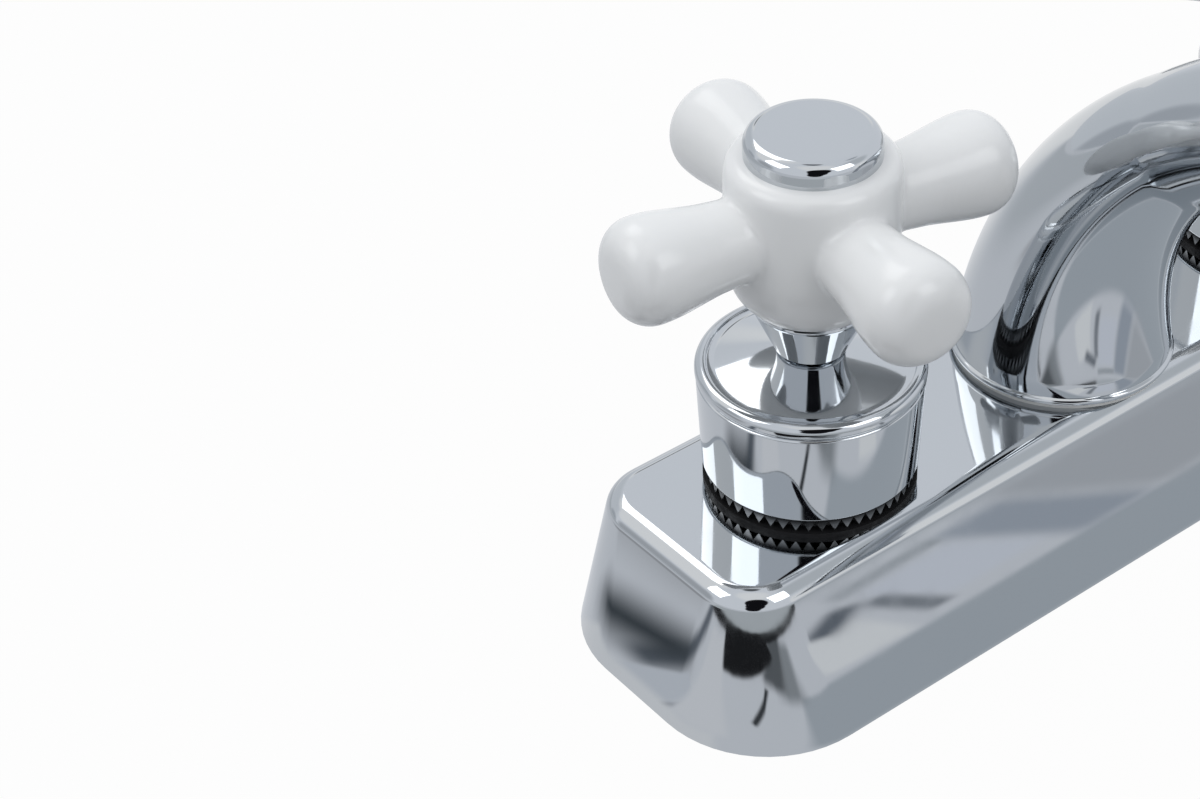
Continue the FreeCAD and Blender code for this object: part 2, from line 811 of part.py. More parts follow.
def make_handle_screw(side, across):
    body = new_body(f"{side}_handle_screw")
    top = insert_top
    head_top = top + size("screw_head_height")
    tip = spindle_top - size("screw_length") + size("screw_gap")
    edge = size("screw_edge")
    revolve(body, "turning", [(0, tip), (size("screw_radius"), tip + edge),
                              (size("screw_radius"), top), (size("screw_head"), top),
                              (size("screw_head"), head_top - edge),
                              (size("screw_head") - edge, head_top), (0, head_top)])
    slot = new_sketch(body, "slot_outline", level=head_top)
    half = size("screw_slot") / 2
    reach = size("screw_head") + OVERRUN
    draw_outline(slot, [(-reach, -half), (reach, -half), (reach, half), (-reach, half)])
    extrude(body, "slot", slot, size("screw_head_height") / 2, cut=True)
    move_to(body, across, 0)
    keep(body)


# Cap: a chromed disc with a rolled edge, pressed into the hub by its plug.
def make_cap(side, across):
    body = new_body(f"{side}_handle_cap")
    top = hub_top + size("cap_thickness")
    plug = hub_top - size("cap_plug_depth")
    inner = size("cap_plug") - size("cap_plug_wall")
    ceiling = top - size("cap_wall")
    revolve(body, "turning", [(inner, plug), (size("cap_plug"), plug),
                              (size("cap_plug"), hub_top), (size("cap_radius"), hub_top),
                              (size("cap_radius"), top), (0, top), (0, ceiling), (inner, ceiling)])
    round_edges(body, "rolled_edge", circle_edge(size("cap_radius"), top), size("cap_round"))
    move_to(body, across, 0)
    keep(body)


# Spout: a hollow horn that narrows as it bends over, with a stem below that
# turns in the deck's socket.
def station(body, name, share, radius):
    """A circle square to the bend after a share of its sweep."""
    angle = size("spout_sweep") * share
    radians = math.radians(angle.value)
    bend = size("spout_bend")
    base = spout_start + size("spout_rise")
    sketch = new_sketch(body, name)
    place = FreeCAD.Placement(
        FreeCAD.Vector(0, -bend.value * (1 - math.cos(radians)),
                       base.value + bend.value * math.sin(radians)),
        FreeCAD.Rotation(FreeCAD.Vector(1, 0, 0), angle.value))
    sketch.AttachmentOffset = place
    turn = f"{angle.formula} * 1 deg"
    sketch.setExpression("AttachmentOffset.Base.y", f"-sizes.spout_bend * (1 - cos({turn}))")
    sketch.setExpression("AttachmentOffset.Base.z",
                         f"{base.formula} + sizes.spout_bend * sin({turn})")
    sketch.setExpression("AttachmentOffset.Rotation.Angle", angle.formula)
    draw_circle(sketch, 0, 0, radius)
    return sketch


SPOUT_STATIONS = (0.0, 0.08, 0.16, 0.24, 0.33, 0.45, 0.6, 0.8, 1.0)


def share_radius(share):
    left = max(0.0, 1 - SIZES["spout_bend"] * math.radians(SIZES["spout_sweep"]) * share
               / SIZES["spout_taper_length"])
    swell = left ** SIZES["spout_taper_power"]
    return size("spout_tip") + (size("spout_root") - size("spout_tip")) * swell


def outlet_axis(sketch, distance):
    """Sets a sketch square to the outlet, a distance past the end of the bend."""
    angle = size("spout_sweep")
    radians = math.radians(angle.value)
    bend = size("spout_bend")
    base = spout_start + size("spout_rise")
    far = Length.of(distance)
    y = -bend.value * (1 - math.cos(radians)) - far.value * math.sin(radians)
    z = base.value + bend.value * math.sin(radians) + far.value * math.cos(radians)
    sketch.AttachmentOffset = FreeCAD.Placement(
        FreeCAD.Vector(0, y, z), FreeCAD.Rotation(FreeCAD.Vector(1, 0, 0), angle.value))
    turn = f"{angle.formula} * 1 deg"
    sketch.setExpression("AttachmentOffset.Base.y",
                         f"-sizes.spout_bend * (1 - cos({turn})) - {far.formula} * sin({turn})")
    sketch.setExpression("AttachmentOffset.Base.z",
                         f"{base.formula} + sizes.spout_bend * sin({turn})"
                         f" + {far.formula} * cos({turn})")
    sketch.setExpression("AttachmentOffset.Rotation.Angle", angle.formula)


def make_spout():
    body = new_body("spout")
    stem = size("stem_pipe")
    bore = size("stem_pipe_bore")
    low = size("stem_pipe_bottom")
    clip_top = size("socket_bottom") - size("gasket_gap")
    clip_base = clip_top - size("clip_thickness") - size("sleeve_gap")
    clip_floor = stem - size("clip_depth")
    ring = size("spout_ring_section")
    half = ring * size("groove_share")
    floor = stem - ring
    points = [(0, low), (stem, low), (stem, clip_base), (clip_floor, clip_base),
              (clip_floor, clip_top), (stem, clip_top)]
    for height in (size("lower_ring_height"), size("upper_ring_height")):
        points += [(stem, height - half), (floor, height - half), (floor, height + half),
                   (stem, height + half)]
    points += [(stem, spout_seat), (size("lip_radius"), spout_seat),
               (size("lip_radius"), spout_start), (size("spout_root"), spout_start),
               (size("spout_root"), spout_start + size("spout_rise")),
               (0, spout_start + size("spout_rise"))]
    revolve(body, "stem", points)
    step = size("lip_radius") - size("spout_root")
    round_edges(body, "lip", circle_edge(size("lip_radius"), spout_start), step * 0.8)

    rings = [station(body, f"outer_{index}", share, share_radius(share))
             for index, share in enumerate(SPOUT_STATIONS)]
    horn = body.newObject("PartDesign::AdditiveLoft", "horn")
    horn.Profile = rings[0]
    horn.Sections = rings[1:]
    horn.Ruled = False
    nozzle = new_sketch(body, "nozzle_outline")
    outlet_axis(nozzle, 0)
    draw_circle(nozzle, 0, 0, size("outlet_radius"))
    extrude(body, "nozzle", nozzle, size("outlet_length"))

    wall = size("spout_wall")
    hollows = [station(body, f"inner_{index}", share, share_radius(share) - wall)
               for index, share in enumerate(SPOUT_STATIONS)]
    hollow = body.newObject("PartDesign::SubtractiveLoft", "horn_hollow")
    hollow.Profile = hollows[0]
    hollow.Sections = hollows[1:]
    hollow.Ruled = False
    mouth = new_sketch(body, "mouth_outline")
    outlet_axis(mouth, size("outlet_length"))
    draw_circle(mouth, 0, 0, size("aerator_thread") + size("thread_gap"))
    extrude(body, "mouth", mouth, size("aerator_engage"), cut=True)
    throat = new_sketch(body, "throat_outline")
    outlet_axis(throat, size("outlet_length"))
    draw_circle(throat, 0, 0, size("throat_radius"))
    extrude(body, "throat", throat, size("outlet_length") + wall, cut=True)

    # way up through the stem, and the side ports that face the waterway
    way = new_sketch(body, "stem_bore_outline", level=spout_start + size("spout_rise") + wall)
    draw_circle(way, 0, 0, bore)
    extrude(body, "stem_bore", way, spout_start + size("spout_rise") + wall - low - wall, cut=True)
    side_ports = new_sketch(body, "side_port_outline", "YZ_Plane")
    draw_circle(side_ports, 0, size("gallery_height"), size("stem_port_radius"))
    ports = extrude(body, "side_ports", side_ports, stem * 3, cut=True)
    ports.Midplane = True

    # curved slot under the lip that the stop pin runs in
    pin_room = size("stop_radius") + size("stop_slot_gap")
    slot = new_sketch(body, "stop_slot_outline", "YZ_Plane")
    near = size("stop_offset") - pin_room
    far = size("stop_offset") + pin_room
    slot_top = spout_seat + size("stop_slot_depth")
    draw_outline(slot, [(near, spout_seat), (far, spout_seat), (far, slot_top), (near, slot_top)])
    groove = body.newObject("PartDesign::Groove", "stop_slot")
    groove.Profile = slot
    groove.ReferenceAxis = (slot, ["V_Axis"])
    groove.Midplane = True
    groove.setExpression("Angle", "2 * (sizes.spout_turn_limit * 1 deg"
                         f" + asin({pin_room.formula} / sizes.stop_offset))")
    move_to(body, 0, spout_y)
    keep(body)


# Slip ring between the spout lip and the deck.
def make_slip_ring():
    inner = size("stem_pipe") + size("gasket_gap")
    body = new_body("spout_slip_ring")
    outer = size("lip_radius") - size("gasket_gap") * 2
    revolve(body, "turning", [(inner, deck_top), (outer, deck_top), (outer, spout_seat),
                              (inner, spout_seat)])
    hole = new_sketch(body, "pin_hole_outline", level=spout_seat)
    draw_circle(hole, 0, size("stop_offset"), size("stop_radius") + size("sleeve_gap"))
    extrude(body, "pin_hole", hole, size("slip_thickness"), cut=True)
    move_to(body, 0, spout_y)
    keep(body)


def make_stop_pin():
    body = new_body("spout_stop_pin")
    low = deck_top - size("stop_depth")
    high = spout_seat + size("stop_slot_depth") - size("gasket_gap")
    sketch = new_sketch(body, "pin_outline", level=low)
    draw_circle(sketch, 0, 0, size("stop_radius"))
    extrude(body, "pin", sketch, high - low)
    move_to(body, 0, spout_y + size("stop_offset"))
    keep(body)


# Spring clip under the socket that stops the spout lifting out.
def make_clip():
    body = new_body("spout_clip")
    inner = size("stem_pipe") - size("clip_depth") + size("sleeve_gap")
    high = size("socket_bottom") - size("gasket_gap") - size("sleeve_gap") / 2
    revolve(body, "turning", [(inner, high - size("clip_thickness")),
                              (size("clip_outer"), high - size("clip_thickness")),
                              (size("clip_outer"), high), (inner, high)])
    gap = new_sketch(body, "gap_outline", level=high)
    half = size("clip_opening") / 2
    far = size("clip_outer") + OVERRUN
    draw_outline(gap, [(-half, 0), (half, 0), (half, far), (-half, far)])
    extrude(body, "gap", gap, size("clip_thickness"), cut=True)
    move_to(body, 0, spout_y)
    keep(body)


def make_spout_rings():
    half = size("spout_ring_section") / 2
    centre = size("stem_pipe") - half
    for name in ("upper", "lower"):
        make_ring(f"spout_{name}_ring", 0, spout_y, size(f"{name}_ring_height"), centre, half)


# Aerator: a chromed sleeve screwed into the outlet, holding a plastic
# straightener against a rubber washer. Each is turned about the outlet.
def outlet_piece(label, rings):
    """Stacks round steps along the outlet: each is (from, to, outer radius, inner radius)."""
    body = new_body(label)
    for index, (start, stop, outer, inner) in enumerate(rings):
        sketch = new_sketch(body, f"step_{index}")
        outlet_axis(sketch, start)
        draw_circle(sketch, 0, 0, outer)
        if inner is not None:
            draw_circle(sketch, 0, 0, inner)
        extrude(body, f"pad_{index}", sketch, stop - start)
    move_to(body, 0, spout_y)
    return keep(body)


def make_aerator():
    end = size("outlet_length")
    deep = end - size("aerator_engage")
    thread = size("aerator_thread")
    bore = size("aerator_bore")
    tip = end + size("aerator_length")
    washer = size("seal_thickness")
    housing = outlet_piece("aerator_housing", [
        (deep + washer, end, thread, bore), (end, tip, size("aerator_radius"), bore)])
    tip_radius = SIZES["aerator_radius"]
    sweep = math.radians(SIZES["spout_sweep"])
    base = FreeCAD.Vector(0, -math.sin(sweep), math.cos(sweep))
    DOC.recompute()
    farthest = max(edge.CenterOfMass.dot(base) for edge in housing.Shape.Edges)

    def outer_rim(edge):
        if not isinstance(edge.Curve, Part.Circle):
            return False
        if abs(edge.Curve.Radius - tip_radius) > 1e-3:
            return False
        return abs((edge.Curve.Center + FreeCAD.Vector(0, spout_y.value, 0)).dot(base)
                   - farthest) < 1.0
    round_edges(housing, "tip_round", outer_rim, size("tip_round"))
    outlet_piece("aerator_washer", [(deep, deep + washer, thread, bore - 1)])
    face = tip - size("mesh_inset")
    fit = bore - size("sleeve_gap") / 2
    screen = outlet_piece("aerator_insert", [(face - size("mesh_thickness"), face, fit, None)])
    holes = new_sketch(screen, "hole_outline")
    outlet_axis(holes, tip)
    draw_circle(holes, 0, 0, size("mesh_centre_hole"))
    for across, up in spokes(6, size("mesh_ring"), 30):
        draw_circle(holes, across, up, size("mesh_hole"))
    extrude(screen, "holes", holes, size("mesh_thickness") + size("mesh_inset") * 2, cut=True)


def build():
    make_deck()
    make_base_gasket()
    for side, sign in (("left", -1), ("right", 1)):
        across = half_spacing * sign
        turn = size(f"{side}_handle_angle") * sign
        make_shank(side, across)
        make_mounting_washer(side, across)
        make_mounting_nut(side, across)
        make_seat_seal(side, across)
        make_valve_housing(side, across)
        make_disc(f"{side}_fixed_disc", across, housing_base, Length(0.0, "0"))
        make_disc(f"{side}_moving_disc", across, disc_joint, turn)
        make_spindle(side, across, turn)
        make_spindle_ring(side, across)
        make_bonnet_pad(side, across)
        make_serrated_ring(side, across)
        make_bonnet(side, across)
        make_collar(side, across, turn)
        make_cross(side, across, turn)
        make_handle_screw(side, across)
        make_cap(side, across)
    make_spout()
    make_slip_ring()
    make_stop_pin()
    make_clip()
    make_spout_rings()
    make_aerator()


def check_and_write():
    DOC.recompute()
    failed = [item for item in DOC.Objects if "Invalid" in item.State or "Error" in item.State]
    if failed:
        raise RuntimeError(f"failed: {[(item.Name, item.State) for item in failed]}")
    os.makedirs("parts", exist_ok=True)
    for piece in PIECES:
        shape = piece.Shape
        if shape.isNull() or not shape.isValid() or not shape.Solids:
            raise RuntimeError(f"{piece.Label} has no valid solid")
    for piece in PIECES:
        piece.Shape.exportStep(f"parts/{piece.Label}.step")
        box = piece.Shape.BoundBox
        print(f"{piece.Label}: {len(piece.Shape.Solids)} solid, {piece.Shape.Volume:.0f} mm3,",
              f"z {box.ZMin:.2f} to {box.ZMax:.2f}")


build()
check_and_write()
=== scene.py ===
import math
import bmesh
import bpy
from mathutils import Matrix, Vector


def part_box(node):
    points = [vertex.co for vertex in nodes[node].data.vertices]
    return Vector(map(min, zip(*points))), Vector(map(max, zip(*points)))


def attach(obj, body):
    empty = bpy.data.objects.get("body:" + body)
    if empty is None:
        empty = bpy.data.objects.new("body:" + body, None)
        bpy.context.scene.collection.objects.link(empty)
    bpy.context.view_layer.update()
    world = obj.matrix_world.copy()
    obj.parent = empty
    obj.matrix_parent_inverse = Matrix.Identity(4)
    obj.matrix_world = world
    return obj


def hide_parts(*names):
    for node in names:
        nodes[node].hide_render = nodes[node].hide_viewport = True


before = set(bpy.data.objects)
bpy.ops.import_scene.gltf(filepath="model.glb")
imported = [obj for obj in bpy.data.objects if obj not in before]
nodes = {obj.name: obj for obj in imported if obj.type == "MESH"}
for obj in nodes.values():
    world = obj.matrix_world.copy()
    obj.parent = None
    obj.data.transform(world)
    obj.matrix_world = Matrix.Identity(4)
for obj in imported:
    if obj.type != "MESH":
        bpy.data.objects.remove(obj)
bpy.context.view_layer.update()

MM = 0.001


# Deck: one zinc casting with sloping walls and a flat top, ground smooth and
# chrome plated. It stands on the counter on a rubber plate and carries all the rest.
DECK_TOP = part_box("deck_body")[1][2]
FOOT_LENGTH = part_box("deck_body")[1][0] * 2
FOOT_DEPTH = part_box("deck_body")[1][1] * 2
FOOT_CORNER = 19.0 * MM
FOOT_RIM = 2.8 * MM
HOLLOW_DEPTH = 6.0 * MM
TOP_LENGTH = 158.0 * MM
TOP_DEPTH = 36.4 * MM
TOP_CORNER = 8.5 * MM
TOP_EDGE = 2.75 * MM
CORNER_STEPS = 14
SAME_PLACE = 0.002 * MM
SAME_LEVEL = 0.0001 * MM
CHROME_COLOUR = (0.56, 0.585, 0.61)
POLISH_GRAIN = 220.0
POLISH_SWELL = 32.0
NOISE_LOW = 0.35
NOISE_HIGH = 0.65


def place(piece_name, shape, finish, body, *replaced, sharp=35):
    """Makes the object from its shape, smooth but for its sharp edges, and fixes it to its body."""
    bmesh.ops.remove_doubles(shape, verts=shape.verts, dist=SAME_PLACE)
    bmesh.ops.recalc_face_normals(shape, faces=shape.faces)
    for face in shape.faces:
        face.smooth = True
    for edge in shape.edges:
        if len(edge.link_faces) == 2:
            edge.smooth = edge.calc_face_angle(0) < math.radians(sharp)
    mesh = bpy.data.meshes.new(piece_name)
    shape.to_mesh(mesh)
    shape.free()
    piece = bpy.data.objects.new(piece_name, mesh)
    bpy.context.scene.collection.objects.link(piece)
    mesh.materials.append(finish)
    weighted = piece.modifiers.new("flat faces stay flat", "WEIGHTED_NORMAL")
    weighted.mode = "FACE_AREA_WITH_ANGLE"
    weighted.weight = 50
    weighted.keep_sharp = True
    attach(piece, body)
    if replaced:
        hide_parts(*replaced)
    return piece


def surface(name, colour, roughness, metallic=0.0):
    """A plain shader with its colour and finish set on its own sockets."""
    finish = bpy.data.materials.new(name)
    finish.use_nodes = True
    shader = finish.node_tree.nodes["Principled BSDF"]
    shader.inputs["Base Color"].default_value = colour + (1.0,)
    shader.inputs["Roughness"].default_value = roughness
    shader.inputs["Metallic"].default_value = metallic
    return finish


def own_place(tree):
    """Where a point lies on its own piece."""
    return tree.nodes.new("ShaderNodeTexCoord").outputs["Object"]


def noise(finish, scale, detail=3.0):
    """A noise in the piece's own place, at a scale of so many to the metre."""
    tree = finish.node_tree
    texture = tree.nodes.new("ShaderNodeTexNoise")
    texture.inputs["Scale"].default_value = scale
    texture.inputs["Detail"].default_value = detail
    tree.links.new(own_place(tree), texture.inputs["Vector"])
    return texture.outputs["Fac"]


def vary_roughness(finish, field, low, high):
    """Lets the roughness drift with a noise, from low to high."""
    tree = finish.node_tree
    spread = tree.nodes.new("ShaderNodeMapRange")
    spread.inputs["From Min"].default_value = NOISE_LOW
    spread.inputs["From Max"].default_value = NOISE_HIGH
    spread.inputs["To Min"].default_value = low
    spread.inputs["To Max"].default_value = high
    tree.links.new(field, spread.inputs["Value"])
    shader = tree.nodes["Principled BSDF"]
    tree.links.new(spread.outputs["Result"], shader.inputs["Roughness"])


def raise_surface(finish, field, height):
    """Lifts the surface by a fraction of a millimetre where the noise is high."""
    tree = finish.node_tree
    bump = tree.nodes.new("ShaderNodeBump")
    bump.inputs["Strength"].default_value = 1.0
    bump.inputs["Distance"].default_value = height
    tree.links.new(field, bump.inputs["Height"])
    shader = tree.nodes["Principled BSDF"]
    tree.links.new(bump.outputs["Normal"], shader.inputs["Normal"])


def chrome(name, swell_height):
    """Bright plate over ground metal: nearly a mirror, with the faint swell of hand polishing."""
    finish = surface(name, CHROME_COLOUR, 0.05, 1.0)
    vary_roughness(finish, noise(finish, POLISH_GRAIN), 0.035, 0.075)
    raise_surface(finish, noise(finish, POLISH_SWELL, 1.0), swell_height)
    return finish


def lies_level(part, height):
    """Whether an edge or a face lies flat at a height."""
    return all(abs(vert.co.z - height) < SAME_LEVEL for vert in part.verts)


def rounded_plate(shape, length, depth, corner, height):
    """A level face with quarter-round corners. Gives back its rim."""
    corners = [shape.verts.new((across * length / 2, along * depth / 2, height))
               for across, along in ((1, 1), (-1, 1), (-1, -1), (1, -1))]
    shape.faces.new(corners)
    bmesh.ops.bevel(shape, geom=corners, offset=corner, offset_type="OFFSET", affect="VERTICES",
                    segments=CORNER_STEPS, profile=0.5, material=-1, clamp_overlap=False)
    return [edge for edge in shape.edges if lies_level(edge, height)]


def new_verts(grown):
    """The corners that an extrusion has made."""
    return [part for part in grown["geom"] if isinstance(part, bmesh.types.BMVert)]


deck = bmesh.new()
foot_rim = rounded_plate(deck, FOOT_LENGTH, FOOT_DEPTH, FOOT_CORNER, 0.0)
top_rim = rounded_plate(deck, TOP_LENGTH, TOP_DEPTH, TOP_CORNER, DECK_TOP)
bmesh.ops.bridge_loops(deck, edges=foot_rim + top_rim)
bmesh.ops.bevel(deck, geom=[edge for edge in deck.edges if lies_level(edge, DECK_TOP)],
                offset=TOP_EDGE, offset_type="OFFSET", affect="EDGES",
                segments=10, profile=0.5, material=-1, clamp_overlap=False)
underside = [face for face in deck.faces if lies_level(face, 0.0)]
bmesh.ops.inset_region(deck, faces=underside, thickness=FOOT_RIM, depth=0.0)
inside_rim = [face for face in deck.faces if lies_level(face, 0.0) and len(face.verts) > 8]
hollow = bmesh.ops.extrude_face_region(deck, geom=inside_rim)
bmesh.ops.translate(deck, vec=(0, 0, HOLLOW_DEPTH), verts=new_verts(hollow))
bmesh.ops.delete(deck, geom=inside_rim, context="FACES")
deck_chrome = chrome("deck chrome", 0.03 * MM)
deck_piece = place("deck_casting", deck, deck_chrome, "tap_base", "deck_body")


# Rubber parts: the plate under the deck, the pads under the bonnets, the seals
# and the rings, moulded in black rubber and left as they come from the mould.
SIDES = ("left", "right")
black_rubber = surface("black rubber", (0.006, 0.006, 0.007), 0.65)
black_rubber.node_tree.nodes["Principled BSDF"].inputs["Specular IOR Level"].default_value = 0.25
vary_roughness(black_rubber, noise(black_rubber, 900.0), 0.55, 0.8)
raise_surface(black_rubber, noise(black_rubber, 1500.0), 0.02 * MM)


def both(name):
    """The names of a piece on the left and on the right."""
    return [f"{side}_{name}" for side in SIDES]


def finish_nodes(finish, names):
    """Gives frame nodes that stay as they are their finish."""
    for name in names:
        nodes[name].data.materials.clear()
        nodes[name].data.materials.append(finish)


finish_nodes(black_rubber,
             ["base_gasket", "spout_upper_ring", "spout_lower_ring", "aerator_washer"]
             + both("bonnet_pad") + both("seat_seal") + both("spindle_ring"))


# Brass below the counter and inside: valve housings, spindles and nuts, turned
# from bar and left bare, with the fine marks of the lathe.
brass = surface("turned brass", (0.72, 0.52, 0.25), 0.28, 1.0)
vary_roughness(brass, noise(brass, 400.0), 0.2, 0.38)
raise_surface(brass, noise(brass, 2200.0, 1.0), 0.006 * MM)
finish_nodes(brass, both("valve_housing") + both("spindle") + both("mounting_nut"))


# Shanks: brass tubes threaded fourteen turns to the inch below the counter, with
# a narrower tail for the supply nut.
THREAD_PITCH = 25.4 / 14 * MM
THREAD_DEPTH = 1.1 * MM
THREAD_OVERLAP = 0.05 * MM
THREAD_STEPS = 40
SHANK_BORE = 7.4 * MM
TAIL_STEP = 0.6 * MM
TAIL_CHAMFER = 0.6 * MM
TAIL_EDGE = 0.8 * MM
TAIL_THREAD_START = 0.9 * MM
TAIL_THREAD_STOP = 7.5 * MM
SHOULDER = 8.5 * MM


def handle_axis(side):
    """The middle of a handle, on the counter."""
    low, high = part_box(f"{side}_handle_cap")
    return Vector(((low[0] + high[0]) / 2, (low[1] + high[1]) / 2, 0))


def turned(profile, steps=96):
    """A lathe shape about the Z axis from (radius, height) points in metres."""
    shape = bmesh.new()
    verts = [shape.verts.new((radius, 0, height)) for radius, height in profile]
    edges = [shape.edges.new(pair) for pair in zip(verts, verts[1:])]
    bmesh.ops.spin(shape, geom=verts + edges, cent=(0, 0, 0), axis=(0, 0, 1),
                   angle=math.tau, steps=steps, use_merge=True)
    bmesh.ops.remove_doubles(shape, verts=shape.verts, dist=SAME_PLACE)
    return shape


def shift(shape, move):
    """Moves a whole shape."""
    bmesh.ops.translate(shape, vec=move, verts=shape.verts)


for side in SIDES:
    low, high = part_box(f"{side}_shank")
    root = (high[0] - low[0]) / 2 - THREAD_DEPTH
    tail_root = root - TAIL_STEP
    tube = turned([(SHANK_BORE, low[2]), (tail_root - TAIL_CHAMFER, low[2]),
                   (tail_root, low[2] + TAIL_EDGE), (tail_root, low[2] + SHOULDER),
                   (root, low[2] + SHOULDER), (root, high[2]),
                   (SHANK_BORE, high[2]), (SHANK_BORE, low[2])], 64)
    for base, start, stop in (
            (tail_root, low[2] + TAIL_THREAD_START, low[2] + TAIL_THREAD_STOP),
            (root, low[2] + SHOULDER, high[2])):
        foot = base - THREAD_OVERLAP
        tip = base + THREAD_DEPTH
        tooth = [tube.verts.new((radius, 0, start + THREAD_PITCH * share))
                 for radius, share in ((foot, 0.0), (tip, 0.42), (tip, 0.54), (foot, 0.96))]
        profile = [tube.edges.new(pair) for pair in zip(tooth, tooth[1:] + tooth[:1])]
        turns = int((stop - start) / THREAD_PITCH) - 1
        bmesh.ops.spin(tube, geom=tooth + profile, cent=(0, 0, 0), axis=(0, 0, 1),
                       dvec=(0, 0, THREAD_PITCH / THREAD_STEPS), angle=math.tau * turns,
                       steps=THREAD_STEPS * turns, use_merge=False)
    thread_ends = [edge for edge in tube.edges if len(edge.link_faces) == 1]
    bmesh.ops.holes_fill(tube, edges=thread_ends, sides=4)
    shift(tube, handle_axis(side))
    shank = place(f"{side}_threaded_shank", tube, brass, "tap_base", f"{side}_shank", sharp=25)


# Washers, clip, stop pin and handle screws: small steel stampings and turnings,
# bright and a little brushed.
steel = surface("bright steel", (0.55, 0.55, 0.56), 0.3, 1.0)
vary_roughness(steel, noise(steel, 600.0), 0.22, 0.4)
raise_surface(steel, noise(steel, 1800.0, 1.0), 0.005 * MM)
finish_nodes(steel,
             both("mounting_washer") + both("handle_screw") + ["spout_clip", "spout_stop_pin"])


# Ceramic discs: two lapped plates to a valve, pressed and fired, then polished
# flat on their meeting faces.
disc_ceramic = surface("lapped ceramic", (0.78, 0.76, 0.7), 0.3)
vary_roughness(disc_ceramic, noise(disc_ceramic, 1200.0), 0.22, 0.4)
finish_nodes(disc_ceramic, both("fixed_disc") + both("moving_disc"))


# Slip ring under the spout and the straightener in the outlet: moulded in a
# white acetal.
white_plastic = surface("white acetal", (0.8, 0.8, 0.78), 0.45)
vary_roughness(white_plastic, noise(white_plastic, 900.0), 0.38, 0.55)
finish_nodes(white_plastic, ["spout_slip_ring", "aerator_insert"])


# Serrated ring: a dark steel ring under each bonnet. Its crown of pointed teeth faces down and bites
# into the pad as the bonnet is screwed on. The steel's colour is painted lighter towards the points,
# as a painted highlight.
BONNET_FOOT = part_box("left_bonnet")[0][2]
RING_INNER = 12.3 * MM
TOOTH_COUNT = 52
TOOTH_FILL = 0.96
TOOTH_ROOT = 14.2 * MM
TOOTH_OUTER = (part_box("left_serrated_ring")[1][0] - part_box("left_serrated_ring")[0][0]) / 2
TOOTH_BASE = BONNET_FOOT - 0.5 * MM
TOOTH_POINT = TOOTH_BASE - 1.7 * MM
OILED_COLOUR = (0.03, 0.031, 0.033)
POINT_HIGHLIGHT_COLOUR = (0.3, 0.31, 0.32)


def axes(tree, vector):
    """The X, Y and Z of a vector, each on its own."""
    split = tree.nodes.new("ShaderNodeSeparateXYZ")
    tree.links.new(vector, split.inputs[0])
    return split.outputs


def blend(tree, share, first, second):
    """Goes from one colour to another with the share. Each is a socket or a plain colour."""
    mix = tree.nodes.new("ShaderNodeMix")
    mix.data_type = "RGBA"
    tree.links.new(share, mix.inputs["Factor"])
    for socket, colour in ((mix.inputs[6], first), (mix.inputs[7], second)):
        if isinstance(colour, tuple):
            socket.default_value = colour + (1.0,)
        else:
            tree.links.new(colour, socket)
    return mix.outputs[2]


dark_steel = surface("oiled dark steel", (0.012, 0.012, 0.013), 0.32, 1.0)
vary_roughness(dark_steel, noise(dark_steel, 900.0), 0.25, 0.45)
raise_surface(dark_steel, noise(dark_steel, 1600.0), 0.01 * MM)
steel_tree = dark_steel.node_tree
# Painted highlight: the colour runs from the dark steel at the tooth roots to a lighter grey at the
# points.
painted_highlight_share = steel_tree.nodes.new("ShaderNodeMapRange")
painted_highlight_share.inputs["From Min"].default_value = TOOTH_BASE
painted_highlight_share.inputs["From Max"].default_value = TOOTH_POINT
steel_tree.links.new(axes(steel_tree, own_place(steel_tree))["Z"], painted_highlight_share.inputs["Value"])
steel_tree.links.new(blend(steel_tree, painted_highlight_share.outputs["Result"], OILED_COLOUR, POINT_HIGHLIGHT_COLOUR),
                     steel_tree.nodes["Principled BSDF"].inputs["Base Color"])
for side in SIDES:
    low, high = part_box(f"{side}_serrated_ring")
    ring = turned([(RING_INNER, low[2]), (TOOTH_ROOT, low[2]),
                   (TOOTH_ROOT, TOOTH_BASE), (TOOTH_OUTER, TOOTH_BASE),
                   (TOOTH_OUTER, BONNET_FOOT), (TOOTH_ROOT, BONNET_FOOT),
                   (TOOTH_ROOT, high[2]), (RING_INNER, high[2]), (RING_INNER, low[2])])
    half_tooth = TOOTH_OUTER * math.pi / TOOTH_COUNT * TOOTH_FILL
    flank = [ring.verts.new((TOOTH_ROOT, across, height)) for across, height in
             ((-half_tooth, TOOTH_BASE), (half_tooth, TOOTH_BASE), (0, TOOTH_POINT))]
    grown = bmesh.ops.extrude_face_region(ring, geom=[ring.faces.new(flank)])
    outer_flank = new_verts(grown)
    bmesh.ops.translate(ring, vec=(TOOTH_OUTER - TOOTH_ROOT, 0, 0), verts=outer_flank)
    tooth_faces = [face for face in ring.faces
                   if all(vert in flank + outer_flank for vert in face.verts)]
    bmesh.ops.spin(ring, geom=tooth_faces, cent=(0, 0, 0), axis=(0, 0, 1), angle=math.tau,
                   steps=TOOTH_COUNT, use_duplicate=True, use_merge=True)
    shift(ring, handle_axis(side))
    crown = place(f"{side}_tooth_ring", ring, dark_steel, "tap_base", f"{side}_serrated_ring")


